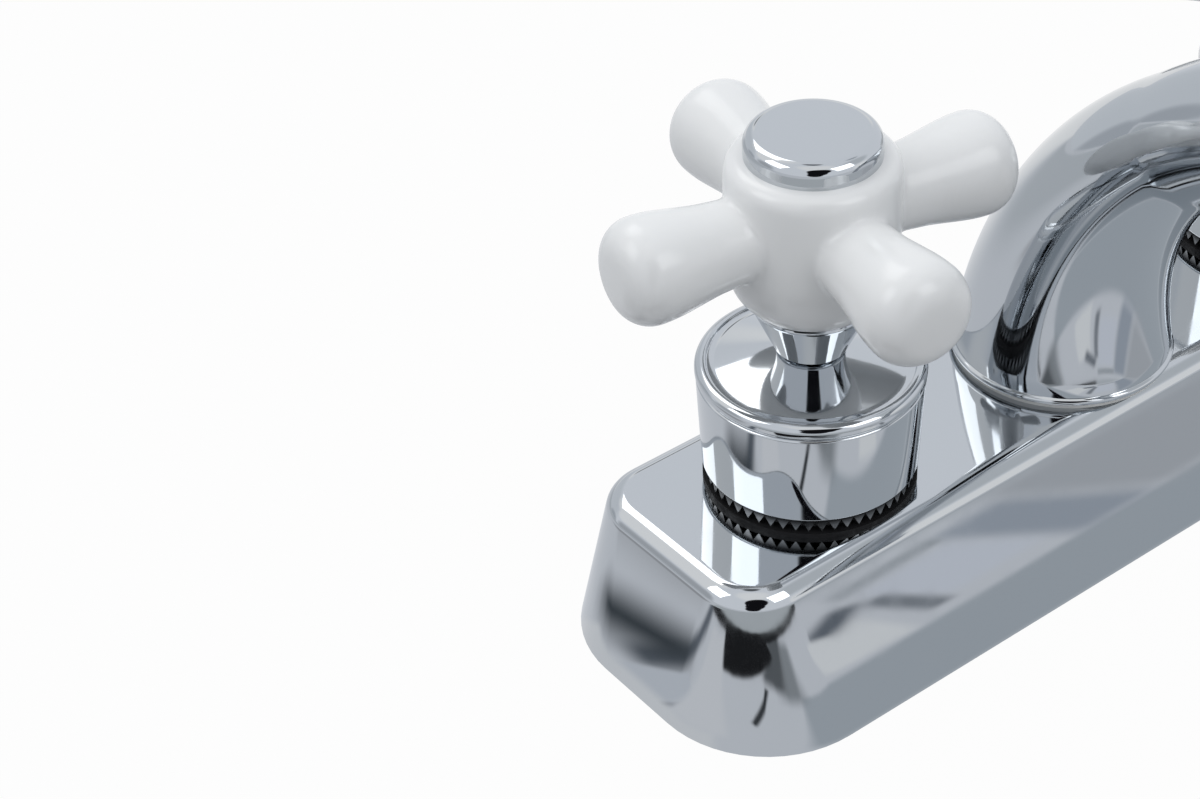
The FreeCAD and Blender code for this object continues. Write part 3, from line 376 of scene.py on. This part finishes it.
# Bonnets: drawn brass cups, chrome plated, screwed onto the valve necks. A rolled
# bead runs round the top over a fine groove, and the middle rises to the handle neck.
BONNET_RADIUS = 16.1 * MM
BONNET_BORE = 14.3 * MM
SHOULDER_RADIUS = 16.75 * MM
SHOULDER_HEIGHT = BONNET_FOOT + 15.0 * MM
GROOVE_RADIUS = SHOULDER_RADIUS - 0.3 * MM
GROOVE_FOOT = SHOULDER_HEIGHT + 0.18 * MM
GROOVE_TOP = SHOULDER_HEIGHT + 0.36 * MM
BEAD_FOOT = SHOULDER_HEIGHT + 0.66 * MM
BEAD_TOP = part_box("left_bonnet")[1][2]
BEAD_RADIUS = (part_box("left_bonnet")[1][0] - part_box("left_bonnet")[0][0]) / 2
RIM_INNER = BEAD_RADIUS - 1.7 * MM
RIM_FOOT = BEAD_TOP - 0.5 * MM
NECK_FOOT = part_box("left_handle_collar")[0][2]
CONE_FOOT = NECK_FOOT + 5.6 * MM
CROWN_RADIUS = 14.4 * MM
CROWN_FOOT = BEAD_TOP - 0.55 * MM
CROWN_TOP = CONE_FOOT - 0.3 * MM
NECK_HOLE = 4.7 * MM
CEILING = BEAD_TOP - 4.5 * MM


def round_rings(shape, *rings):
    """Rounds the circles of a turned shape, each told by its radius, height, round and segments."""
    reach = 0.01 * MM
    for radius, height, offset, segments in rings:
        circle = [edge for edge in shape.edges
                  if all(abs(math.hypot(vert.co.x, vert.co.y) - radius) < reach
                         and abs(vert.co.z - height) < reach for vert in edge.verts)]
        bmesh.ops.bevel(shape, geom=circle, offset=offset, offset_type="OFFSET",
                        affect="EDGES", segments=segments, profile=0.5, material=-1)


bonnet_chrome = chrome("bonnet chrome", 0.012 * MM)
for side in SIDES:
    cup = turned([
        (NECK_HOLE, CEILING), (BONNET_BORE, CEILING), (BONNET_BORE, BONNET_FOOT),
        (BONNET_RADIUS, BONNET_FOOT), (SHOULDER_RADIUS, SHOULDER_HEIGHT),
        (GROOVE_RADIUS, GROOVE_FOOT), (GROOVE_RADIUS, GROOVE_TOP), (BEAD_RADIUS, BEAD_FOOT),
        (BEAD_RADIUS, BEAD_TOP), (RIM_INNER, BEAD_TOP), (RIM_INNER, RIM_FOOT),
        (CROWN_RADIUS, CROWN_FOOT), (NECK_HOLE, CROWN_TOP), (NECK_HOLE, CEILING)], 128)
    round_rings(cup,
                (BEAD_RADIUS, BEAD_TOP, 1.22 * MM, 10),
                (RIM_INNER, BEAD_TOP, 0.35 * MM, 5),
                (RIM_INNER, RIM_FOOT, 0.12 * MM, 3),
                (CROWN_RADIUS, CROWN_FOOT, 0.5 * MM, 6),
                (BEAD_RADIUS, BEAD_FOOT, 0.3 * MM, 4),
                (SHOULDER_RADIUS, SHOULDER_HEIGHT, 0.2 * MM, 4),
                (BONNET_RADIUS, BONNET_FOOT, 0.3 * MM, 4))
    shift(cup, handle_axis(side))
    bonnet = place(f"{side}_bonnet_cup", cup, bonnet_chrome, "tap_base", f"{side}_bonnet")


# Handle collars: a turned brass cone under each porcelain cross, chrome plated.
# Its neck drops through the bonnet and its insert grips the spindle's square.
NECK_RADIUS = 4.55 * MM
CONE_RADIUS = 5.3 * MM
COLLAR_RADIUS = 8.8 * MM
COLLAR_BORE = 4.1 * MM
HUB_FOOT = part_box("left_cross")[0][2]
HUB_SKIRT = HUB_FOOT + 1.4 * MM
COLLAR_EDGE = HUB_SKIRT - 0.6 * MM
INSERT_RADIUS = 6.5 * MM
INSERT_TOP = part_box("left_handle_collar")[1][2]
for side in SIDES:
    cone = turned([(COLLAR_BORE, NECK_FOOT), (NECK_RADIUS, NECK_FOOT),
                   (NECK_RADIUS, CONE_FOOT), (CONE_RADIUS, CONE_FOOT),
                   (COLLAR_RADIUS, COLLAR_EDGE), (COLLAR_RADIUS, HUB_SKIRT),
                   (INSERT_RADIUS, HUB_SKIRT), (INSERT_RADIUS, INSERT_TOP),
                   (COLLAR_BORE, INSERT_TOP), (COLLAR_BORE, NECK_FOOT)])
    round_rings(cone,
                (CONE_RADIUS, CONE_FOOT, 0.3 * MM, 4),
                (COLLAR_RADIUS, COLLAR_EDGE, 0.35 * MM, 4))
    shift(cone, handle_axis(side))
    collar = place(f"{side}_collar_cone", cone, bonnet_chrome, f"{side}_handle",
                   f"{side}_handle_collar")


# Cross handles: cast in porcelain and glazed white, a round hub with four arms
# that swell towards rounded ends. The arms run into the hub in soft fillets.
CROSS_TURN = {"left": math.radians(-10.4), "right": math.radians(24.0)}
HUB_SKIRT_RADIUS = 8.9 * MM
HUB_WAIST_RADIUS = 11.0 * MM
HUB_WAIST = HUB_FOOT + 3.4 * MM
HUB_RADIUS = 12.4 * MM
HUB_SIDE = HUB_FOOT + 7.0 * MM
HUB_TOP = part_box("left_cross")[1][2]
ARM_HEIGHT = 71.2 * MM
ARM_START = 4.0 * MM
ARM_ROOT_RADIUS = 5.9 * MM
ARM_ROOT = 11.0 * MM
ARM_MIDDLE_RADIUS = 6.45 * MM
ARM_MIDDLE = 17.0 * MM
ARM_END_RADIUS = 7.75 * MM
ARM_WIDEST = 24.5 * MM
ARM_REACH = 31.4 * MM
ARM_TIP = ARM_REACH - 0.4 * MM
porcelain = surface("white glazed porcelain", (0.83, 0.838, 0.836), 0.09)
vary_roughness(porcelain, noise(porcelain, 120.0), 0.16, 0.24)
raise_surface(porcelain, noise(porcelain, 60.0, 1.0), 0.05 * MM)
for side in SIDES:
    hub = turned([(0, HUB_SKIRT), (HUB_SKIRT_RADIUS, HUB_SKIRT), (HUB_WAIST_RADIUS, HUB_WAIST),
                  (HUB_RADIUS, HUB_SIDE), (HUB_RADIUS, HUB_TOP), (0, HUB_TOP)], 64)
    round_rings(hub,
                (HUB_RADIUS, HUB_TOP, 2.4 * MM, 6),
                (HUB_RADIUS, HUB_SIDE, 2.5 * MM, 4),
                (HUB_WAIST_RADIUS, HUB_WAIST, 1.2 * MM, 3))
    for quarter in range(4):
        arm = turned([(0, ARM_START), (ARM_ROOT_RADIUS, ARM_START), (ARM_ROOT_RADIUS, ARM_ROOT),
                      (ARM_MIDDLE_RADIUS, ARM_MIDDLE), (ARM_END_RADIUS, ARM_WIDEST),
                      (ARM_END_RADIUS, ARM_TIP), (0, ARM_REACH)], 48)
        round_rings(arm,
                    (ARM_END_RADIUS, ARM_TIP, 4.6 * MM, 8),
                    (ARM_END_RADIUS, ARM_WIDEST, 2.0 * MM, 4))
        lay_down = Matrix.Rotation(math.radians(90), 4, "Y")
        swing = Matrix.Rotation(quarter * math.pi / 2 + CROSS_TURN[side], 4, "Z")
        lift = Matrix.Translation((0, 0, ARM_HEIGHT))
        bmesh.ops.transform(arm, matrix=swing @ lift @ lay_down, verts=arm.verts)
        limb = bpy.data.meshes.new("limb")
        arm.to_mesh(limb)
        arm.free()
        hub.from_mesh(limb)
        bpy.data.meshes.remove(limb)
    shift(hub, handle_axis(side))
    cross = place(f"{side}_cross_handle", hub, porcelain, f"{side}_handle", f"{side}_cross")
    cross.modifiers.clear()
    fuse = cross.modifiers.new("one casting", "REMESH")
    fuse.mode = "VOXEL"
    fuse.voxel_size = 0.4 * MM
    fuse.use_smooth_shade = True
    fillet = cross.modifiers.new("soft fillets", "SMOOTH")
    fillet.factor = 0.5
    fillet.iterations = 14


# Handle caps: chromed discs with a rolled edge, pressed into the top of each
# cross over its screw.
CAP_FOOT = HUB_TOP - 0.5 * MM
CAP_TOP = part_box("left_handle_cap")[1][2]
CAP_RADIUS = (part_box("left_handle_cap")[1][0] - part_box("left_handle_cap")[0][0]) / 2
for side in SIDES:
    disc = turned([(0, CAP_FOOT), (CAP_RADIUS, CAP_FOOT), (CAP_RADIUS, CAP_TOP), (0, CAP_TOP)])
    round_rings(disc, (CAP_RADIUS, CAP_TOP, 1.9 * MM, 10))
    shift(disc, handle_axis(side))
    cap = place(f"{side}_cap_disc", disc, bonnet_chrome, f"{side}_handle", f"{side}_handle_cap")


# Spout: a brass casting like a horn, wide at the foot and narrowing as it bends
# over to the outlet, ground and chrome plated. Its lip turns on the slip ring.
SPOUT_Y = -2.0 * MM
SPOUT_ROOT = 17.0 * MM
SPOUT_TIP = 10.0 * MM
STEM_RADIUS = 12.0 * MM
LIP_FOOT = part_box("spout_slip_ring")[1][2]
LIP_RADIUS = 17.5 * MM
BEND_RISE = 2.6 * MM
BEND = 58.0 * MM
SWEEP = math.radians(150)
BEND_STEPS = 120
TAPER_LENGTH = 50.0 * MM
TAPER_POWER = 1.08
NOZZLE_RADIUS = 11.4 * MM
NOZZLE_LENGTH = 7.0 * MM


def tube_radius(run):
    """Outside radius of the horn after a run along its bend."""
    left = max(0.0, 1 - run / TAPER_LENGTH)
    return SPOUT_TIP + (SPOUT_ROOT - SPOUT_TIP) * left ** TAPER_POWER


def step_out(shape, edges, centre, scale, move):
    """Grows the tube by one ring: the open rim is extruded, scaled about its centre and moved."""
    grown = bmesh.ops.extrude_edge_only(shape, edges=edges)
    verts = new_verts(grown)
    rim = [part for part in grown["geom"] if isinstance(part, bmesh.types.BMEdge)
           and all(vert in verts for vert in part.verts)]
    bmesh.ops.scale(shape, vec=(scale, scale, scale), space=Matrix.Translation(-centre),
                    verts=verts)
    bmesh.ops.translate(shape, vec=move, verts=verts)
    return verts, rim


def step_through(shape, edges, start, ahead, profile):
    """Grows the tube through (radius, run) points, the runs told ahead of a start."""
    radius_now, run_now = profile[0]
    for radius, run in profile[1:]:
        _, edges = step_out(shape, edges, start + ahead * run_now, radius / radius_now,
                            ahead * (run - run_now))
        radius_now, run_now = radius, run
    return edges


horn = bmesh.new()
bmesh.ops.create_circle(horn, cap_ends=False, segments=96, radius=STEM_RADIUS)
spout_foot = Vector((0, SPOUT_Y, LIP_FOOT))
shift(horn, spout_foot)
open_rim = step_through(horn, list(horn.edges), spout_foot, Vector((0, 0, 1)), (
    (STEM_RADIUS, 0.0), (LIP_RADIUS - 0.4 * MM, 0.0), (LIP_RADIUS - 0.12 * MM, 0.1 * MM),
    (LIP_RADIUS, 0.35 * MM), (LIP_RADIUS, 0.6 * MM), (LIP_RADIUS - 0.1 * MM, 0.82 * MM),
    (LIP_RADIUS - 0.28 * MM, 0.97 * MM), (SPOUT_ROOT + 0.1 * MM, 1.02 * MM),
    (SPOUT_ROOT, 1.15 * MM), (SPOUT_ROOT, BEND_RISE)))
bend_axis = Vector((0, SPOUT_Y - BEND, LIP_FOOT + BEND_RISE))
for step in range(BEND_STEPS):
    turn = SWEEP * step / BEND_STEPS
    here = bend_axis + Vector((0, BEND * math.cos(turn), BEND * math.sin(turn)))
    growth = tube_radius(BEND * SWEEP * (step + 1) / BEND_STEPS)
    growth /= tube_radius(BEND * SWEEP * step / BEND_STEPS)
    ring_verts, open_rim = step_out(horn, open_rim, here, growth, (0, 0, 0))
    bmesh.ops.rotate(horn, cent=bend_axis, matrix=Matrix.Rotation(SWEEP / BEND_STEPS, 3, "X"),
                     verts=ring_verts)
outlet = bend_axis + Vector((0, BEND * math.cos(SWEEP), BEND * math.sin(SWEEP)))
outlet_ahead = Vector((0, -math.sin(SWEEP), math.cos(SWEEP)))
step_through(horn, open_rim, outlet, outlet_ahead, (
    (SPOUT_TIP, 0.0), (SPOUT_TIP + 0.2 * MM, 0.1 * MM), (NOZZLE_RADIUS - 0.4 * MM, 0.5 * MM),
    (NOZZLE_RADIUS, 1.2 * MM), (NOZZLE_RADIUS, NOZZLE_LENGTH - 0.3 * MM),
    (NOZZLE_RADIUS - 0.3 * MM, NOZZLE_LENGTH), (9.2 * MM, NOZZLE_LENGTH),
    (8.8 * MM, NOZZLE_LENGTH - 0.4 * MM), (8.0 * MM, 2.0 * MM)))
spout_chrome = chrome("spout chrome", 0.05 * MM)
spout = place("spout_horn", horn, spout_chrome, "spout_arm", "spout")


# Aerator: a chromed sleeve screwed into the outlet, with a rounded mouth round
# the white straightener.
AERATOR_RADIUS = 11.8 * MM
AERATOR_BORE = 8.1 * MM
AERATOR_START = NOZZLE_LENGTH + 0.2 * MM
AERATOR_EDGE = NOZZLE_LENGTH + 0.6 * MM
AERATOR_END = NOZZLE_LENGTH + 9.0 * MM
sleeve = turned([(AERATOR_BORE, AERATOR_START), (AERATOR_RADIUS - 0.4 * MM, AERATOR_START),
                 (AERATOR_RADIUS, AERATOR_EDGE), (AERATOR_RADIUS, AERATOR_END),
                 (AERATOR_BORE, AERATOR_END), (AERATOR_BORE, AERATOR_START)])
round_rings(sleeve,
            (AERATOR_RADIUS, AERATOR_END, 0.8 * MM, 6),
            (AERATOR_BORE, AERATOR_END, 0.6 * MM, 5))
along_outlet = Matrix.Translation(outlet) @ Matrix.Rotation(SWEEP, 4, "X")
bmesh.ops.transform(sleeve, matrix=along_outlet, verts=sleeve.verts)
aerator = place("aerator_sleeve", sleeve, spout_chrome, "spout_arm", "aerator_housing")


# Studio: a white counter, a white room and three soft lamps, seen from in front of the left-hand
# end. The chrome shows the room, with a dark gap where the camera stands, and painted reflections:
# shades on the counter that only mirror rays see.
AZIMUTH = math.radians(-35.35)
ELEVATION = math.radians(37.63)
ROLL = math.radians(-3.14)
SENSOR_WIDTH = 36.0
FOCAL_PIXELS = 2470.0
IMAGE_WIDTH = 1200.0
IMAGE_MIDDLE = (600.0, 399.5)
AIM = Vector((-50.8, 0.0, 29.2)) * MM
AIM_PIXEL = (809.8, 451.5)
AIM_DEPTH = 367.5 * MM
COUNTER_HALF = 1.6
COUNTER_SEEN = 0.975
COUNTER_MIRRORED = 0.96
ROOM_LEVEL = 0.86
WHITE = (1.0, 1.0, 1.0)
BLACK = (0.004, 0.004, 0.005)
LAMP_AIM = Vector((0, 0, 40.0)) * MM
level_right = Vector((math.cos(AZIMUTH), math.sin(AZIMUTH), 0))
plain_up = Vector((-math.sin(AZIMUTH) * math.sin(ELEVATION),
                   math.cos(AZIMUTH) * math.sin(ELEVATION), math.cos(ELEVATION)))
forward = Vector((-math.sin(AZIMUTH) * math.cos(ELEVATION),
                  math.cos(AZIMUTH) * math.cos(ELEVATION), -math.sin(ELEVATION)))
right = level_right * math.cos(ROLL) + plain_up * math.sin(ROLL)
up = plain_up * math.cos(ROLL) - level_right * math.sin(ROLL)
across = (AIM_PIXEL[0] - IMAGE_MIDDLE[0]) / FOCAL_PIXELS * AIM_DEPTH
rise = (IMAGE_MIDDLE[1] - AIM_PIXEL[1]) / FOCAL_PIXELS * AIM_DEPTH
eye = AIM - (right * across + up * rise + forward * AIM_DEPTH)
camera_data = bpy.data.cameras.new("camera")
camera_data.sensor_width = SENSOR_WIDTH
camera_data.sensor_fit = "HORIZONTAL"
camera_data.lens = FOCAL_PIXELS * SENSOR_WIDTH / IMAGE_WIDTH
camera_data.clip_start = 0.01
camera = bpy.data.objects.new("camera", camera_data)
facing = Matrix((right, up, -forward)).transposed().to_4x4()
camera.matrix_world = Matrix.Translation(eye) @ facing
bpy.context.scene.collection.objects.link(camera)
bpy.context.scene.camera = camera


def combine(tree, operation, first, second=0.0):
    """Works out a sum on two values, each a socket or a plain number."""
    node = tree.nodes.new("ShaderNodeMath")
    node.operation = operation
    for socket, value in zip(node.inputs, (first, second)):
        if isinstance(value, float):
            socket.default_value = value
        else:
            tree.links.new(value, socket)
    return node.outputs[0]


def background_share(tree, seen, mirrored):
    """How far a ray sees plain white: most of the way from the camera, less in a mirror."""
    ray = tree.nodes.new("ShaderNodeLightPath").outputs
    glossy = combine(tree, "MULTIPLY", ray["Is Glossy Ray"], mirrored)
    direct = combine(tree, "MULTIPLY", ray["Is Camera Ray"], seen)
    clear = combine(tree, "MULTIPLY", ray["Is Transmission Ray"], seen)
    return combine(tree, "MAXIMUM", combine(tree, "MAXIMUM", glossy, direct), clear)


def smooth_step(tree, value, nought_at, one_at):
    """Nought at one value and one at another, with a smooth run between them."""
    step = tree.nodes.new("ShaderNodeMapRange")
    step.interpolation_type = "SMOOTHSTEP"
    step.inputs["From Min"].default_value = nought_at
    step.inputs["From Max"].default_value = one_at
    tree.links.new(value, step.inputs["Value"])
    return step.outputs["Result"]


def within(tree, value, centre, half, softness):
    """One within half of the centre, falling smoothly to nought past it."""
    distance = combine(tree, "ABSOLUTE", combine(tree, "SUBTRACT", value, centre))
    return smooth_step(tree, distance, half + softness, half - softness)


counter_shape = bmesh.new()
bmesh.ops.create_grid(counter_shape, x_segments=1, y_segments=1, size=COUNTER_HALF)
counter_mesh = bpy.data.meshes.new("counter")
counter_shape.to_mesh(counter_mesh)
counter_shape.free()
counter = bpy.data.objects.new("counter", counter_mesh)
bpy.context.scene.collection.objects.link(counter)
counter_white = surface("counter white", (0.3, 0.305, 0.31), 0.7)
counter_tree = counter_white.node_tree


def counter_place(centre, turn=0.0):
    """A place on the counter, told from a centre in millimetres, turned by so many degrees."""
    told_from = counter_tree.nodes.new("ShaderNodeMapping")
    told_from.vector_type = "TEXTURE"
    told_from.inputs["Location"].default_value = (centre[0] * MM, centre[1] * MM, 0)
    told_from.inputs["Rotation"].default_value = (0, 0, math.radians(turn))
    counter_tree.links.new(own_place(counter_tree), told_from.inputs["Vector"])
    return told_from.outputs["Vector"]


def painted_reflection_oblong(under, centre, half, turn, softness, colour):
    """A soft-edged oblong of painted reflection on the counter, which only mirror rays see. Sizes
    are in millimetres, the turn in degrees.
    """
    spot = axes(counter_tree, counter_place(centre, turn))
    along = within(counter_tree, spot["X"], 0.0, half[0] * MM, softness * MM)
    beside = within(counter_tree, spot["Y"], 0.0, half[1] * MM, softness * MM)
    return blend(counter_tree, combine(counter_tree, "MULTIPLY", along, beside), under, colour)


def painted_reflection_ring(under, centre, radius, half, softness, colour):
    """The near left quarter of a soft-edged ring of painted reflection round a point of the counter,
    which only mirror rays see.
    """
    spot = counter_place(centre)
    length = counter_tree.nodes.new("ShaderNodeVectorMath")
    length.operation = "LENGTH"
    counter_tree.links.new(spot, length.inputs[0])
    around = within(counter_tree, length.outputs["Value"], radius * MM, half * MM, softness * MM)
    reach = (radius + half) * MM
    near = within(counter_tree, axes(counter_tree, spot)["Y"], -reach, reach, 6.0 * MM)
    leftward = within(counter_tree, axes(counter_tree, spot)["X"], -reach, reach, 4.0 * MM)
    quarter = combine(counter_tree, "MULTIPLY", near, leftward)
    return blend(counter_tree, combine(counter_tree, "MULTIPLY", around, quarter), under, colour)


# Painted reflections: oblongs and rings of shade and light on the counter that only mirror rays see.
# They stand in for the surroundings that the chrome reflects.
painted_reflections = (0.72, 0.74, 0.78)
for centre, half, turn, softness, colour in (
        ((450, 760), (430, 690), 0, 60.0, WHITE),
        ((-460, 600), (440, 450), 0, 60.0, (0.58, 0.61, 0.64)),
        ((-150, 50), (30, 30), 0, 12.0, (0.41, 0.42, 0.44)),
        ((50, -152), (76, 46), 0, 3.0, (0.55, 0.58, 0.61)),
        ((20, -40), (92, 13.5), 0, 2.0, (0.46, 0.5, 0.54)),
        ((16, -76), (9, 22), 0, 4.0, (0.4, 0.44, 0.5)),
        ((60, -80), (34, 26), 0, 6.0, (0.5, 0.52, 0.55)),
        ((-6, -76), (11, 14), 0, 3.0, (0.72, 0.75, 0.82)),
        ((-37, -68), (9, 12), 8, 2.0, (0.86, 0.87, 0.88)),
        ((-20, -71), (2.5, 12), 4, 2.0, (0.26, 0.28, 0.31)),
        ((-28, -83), (8, 3.5), -35, 2.5, (0.15, 0.17, 0.2)),
        ((-6, -96), (13, 3), 0, 2.0, (0.44, 0.47, 0.5)),
        ((-79, -68), (7, 18), -8, 5.0, (0.3, 0.32, 0.34)),
        ((-93, -70), (9, 18), -8, 4.0, (0.12, 0.13, 0.14)),
        ((-113, -48), (28, 9.5), -68, 1.5, BLACK),
        ((-91.5, -39), (10, 1.3), 75, 1.0, (0.04, 0.045, 0.05)),
        ((-91, -3.2), (4, 0.8), 5, 1.0, (0.2, 0.22, 0.26)),
        ((-114, 6), (22, 3.5), 11, 3.0, (0.15, 0.17, 0.2)),
        ((-100, 18), (7, 14), -19, 8.0, (0.04, 0.05, 0.06)),
        ((-92, 1.5), (9, 5), 31, 1.0, (0.64, 0.67, 0.72)),
        ((-85, 2), (3.5, 18), 0, 1.5, (0.8, 0.81, 0.83)),
        ((-108, -13), (20, 8), 5, 2.0, (0.78, 0.79, 0.82))):
    painted_reflections = painted_reflection_oblong(painted_reflections, centre, half, turn, softness, colour)
painted_reflections = painted_reflection_ring(painted_reflections, (-24, 3), 173.0, 58.0, 1.0, (0.54, 0.57, 0.59))
painted_reflections = painted_reflection_ring(painted_reflections, (-24, 3), 112.5, 3.2, 0.8, BLACK)
# Mirror rays see the painted reflections, and the camera sees the counter plain white.
mirror_ray = counter_tree.nodes.new("ShaderNodeLightPath").outputs["Is Glossy Ray"]
glow = counter_tree.nodes.new("ShaderNodeEmission")
glow.inputs["Strength"].default_value = 1.0
counter_tree.links.new(blend(counter_tree, mirror_ray, WHITE, painted_reflections), glow.inputs["Color"])
blend_in = counter_tree.nodes.new("ShaderNodeMixShader")
counter_tree.links.new(background_share(counter_tree, COUNTER_SEEN, COUNTER_MIRRORED),
                       blend_in.inputs[0])
counter_tree.links.new(counter_tree.nodes["Principled BSDF"].outputs[0], blend_in.inputs[1])
counter_tree.links.new(glow.outputs[0], blend_in.inputs[2])
counter_tree.links.new(blend_in.outputs[0],
                       counter_tree.nodes["Material Output"].inputs["Surface"])
counter_mesh.materials.append(counter_white)

world = bpy.data.worlds.new("white room")
world.use_nodes = True
bpy.context.scene.world = world
room = world.node_tree
sky = room.nodes["Background"]
# Painted reflection: the room lights the scene at ROOM_LEVEL, but it is painted brighter, at full
# strength, for mirror rays.
room_level = room.nodes.new("ShaderNodeMapRange")
room_level.inputs["To Min"].default_value = ROOM_LEVEL
room_level.inputs["To Max"].default_value = 1.0
room.links.new(room.nodes.new("ShaderNodeLightPath").outputs["Is Glossy Ray"],
               room_level.inputs["Value"])
room.links.new(room_level.outputs["Result"], sky.inputs["Strength"])
white_back = room.nodes.new("ShaderNodeBackground")
white_back.inputs["Color"].default_value = (1, 1, 1, 1)
white_back.inputs["Strength"].default_value = 1.0
choose = room.nodes.new("ShaderNodeMixShader")
room.links.new(background_share(room, 1.0, 0.0), choose.inputs[0])
room.links.new(sky.outputs[0], choose.inputs[1])
room.links.new(white_back.outputs[0], choose.inputs[2])
room.links.new(choose.outputs[0], room.nodes["World Output"].inputs["Surface"])


def room_patch(azimuth, elevation, radius, softness):
    """One inside a round patch of the room and nought outside it. Angles are in degrees."""
    level = math.cos(math.radians(elevation))
    towards = Vector((level * math.cos(math.radians(azimuth)),
                      level * math.sin(math.radians(azimuth)),
                      math.sin(math.radians(elevation))))
    looked_in = room.nodes.new("ShaderNodeTexCoord").outputs["Generated"]
    closeness = room.nodes.new("ShaderNodeVectorMath")
    closeness.operation = "DOT_PRODUCT"
    closeness.inputs[1].default_value = towards
    room.links.new(looked_in, closeness.inputs[0])
    return smooth_step(room, closeness.outputs["Value"],
                       math.cos(math.radians(radius + softness)),
                       math.cos(math.radians(max(radius - softness, 0.0))))


look = (0.855, 0.88, 0.926)
for azimuth, elevation, radius, softness, colour in (
        (93.0, 4.0, 30.0, 8.0, (0.72, 0.75, 0.79)),
        (118.0, 0.0, 9.0, 4.0, (0.5, 0.53, 0.57)),
        (150.0, 5.0, 14.0, 6.0, (0.5, 0.52, 0.55)),
        (-45.0, 42.0, 16.0, 6.0, (0.62, 0.65, 0.68)),
        (-52.0, 8.0, 14.0, 4.0, WHITE),
        (100.0, 52.0, 20.0, 6.0, WHITE),
        (132.0, 36.0, 14.0, 5.0, WHITE),
        (42.0, 20.0, 7.0, 3.0, WHITE),
        (58.0, 22.0, 7.0, 3.0, WHITE),
        (59.0, 24.0, 2.5, 1.5, (0.2, 0.22, 0.25)),
        (-125.0, 66.0, 18.0, 7.0, WHITE),
        (-8.0, 58.5, 4.0, 3.0, (0.45, 0.48, 0.52)),
        (50.0, 82.0, 6.0, 2.0, (0.12, 0.13, 0.14)),
        (-128.0, 10.0, 12.0, 1.5, (0.008, 0.008, 0.01)),
        (-124.0, 22.0, 15.0, 1.5, (0.008, 0.008, 0.01)),
        (-121.0, 36.0, 17.0, 1.5, (0.008, 0.008, 0.01))):
    look = blend(room, room_patch(azimuth, elevation, radius, softness), look, colour)
room.links.new(look, sky.inputs["Color"])

for name, place_at, size_across, power in (
        ("left softbox", (-0.64, 0.23, 0.62), 0.42, 1.1),
        ("right softbox", (0.12, -0.68, 0.64), 0.45, 1.27),
        ("back softbox", (-0.04, 0.58, 0.75), 0.45, 1.0)):
    lamp_data = bpy.data.lights.new(name, "AREA")
    lamp_data.shape = "SQUARE"
    lamp_data.size = size_across
    lamp_data.energy = power
    lamp = bpy.data.objects.new(name, lamp_data)
    aim = (LAMP_AIM - Vector(place_at)).to_track_quat("-Z", "Y")
    lamp.matrix_world = Matrix.Translation(place_at) @ aim.to_matrix().to_4x4()
    bpy.context.scene.collection.objects.link(lamp)

bpy.context.scene.view_settings.view_transform = "Standard"
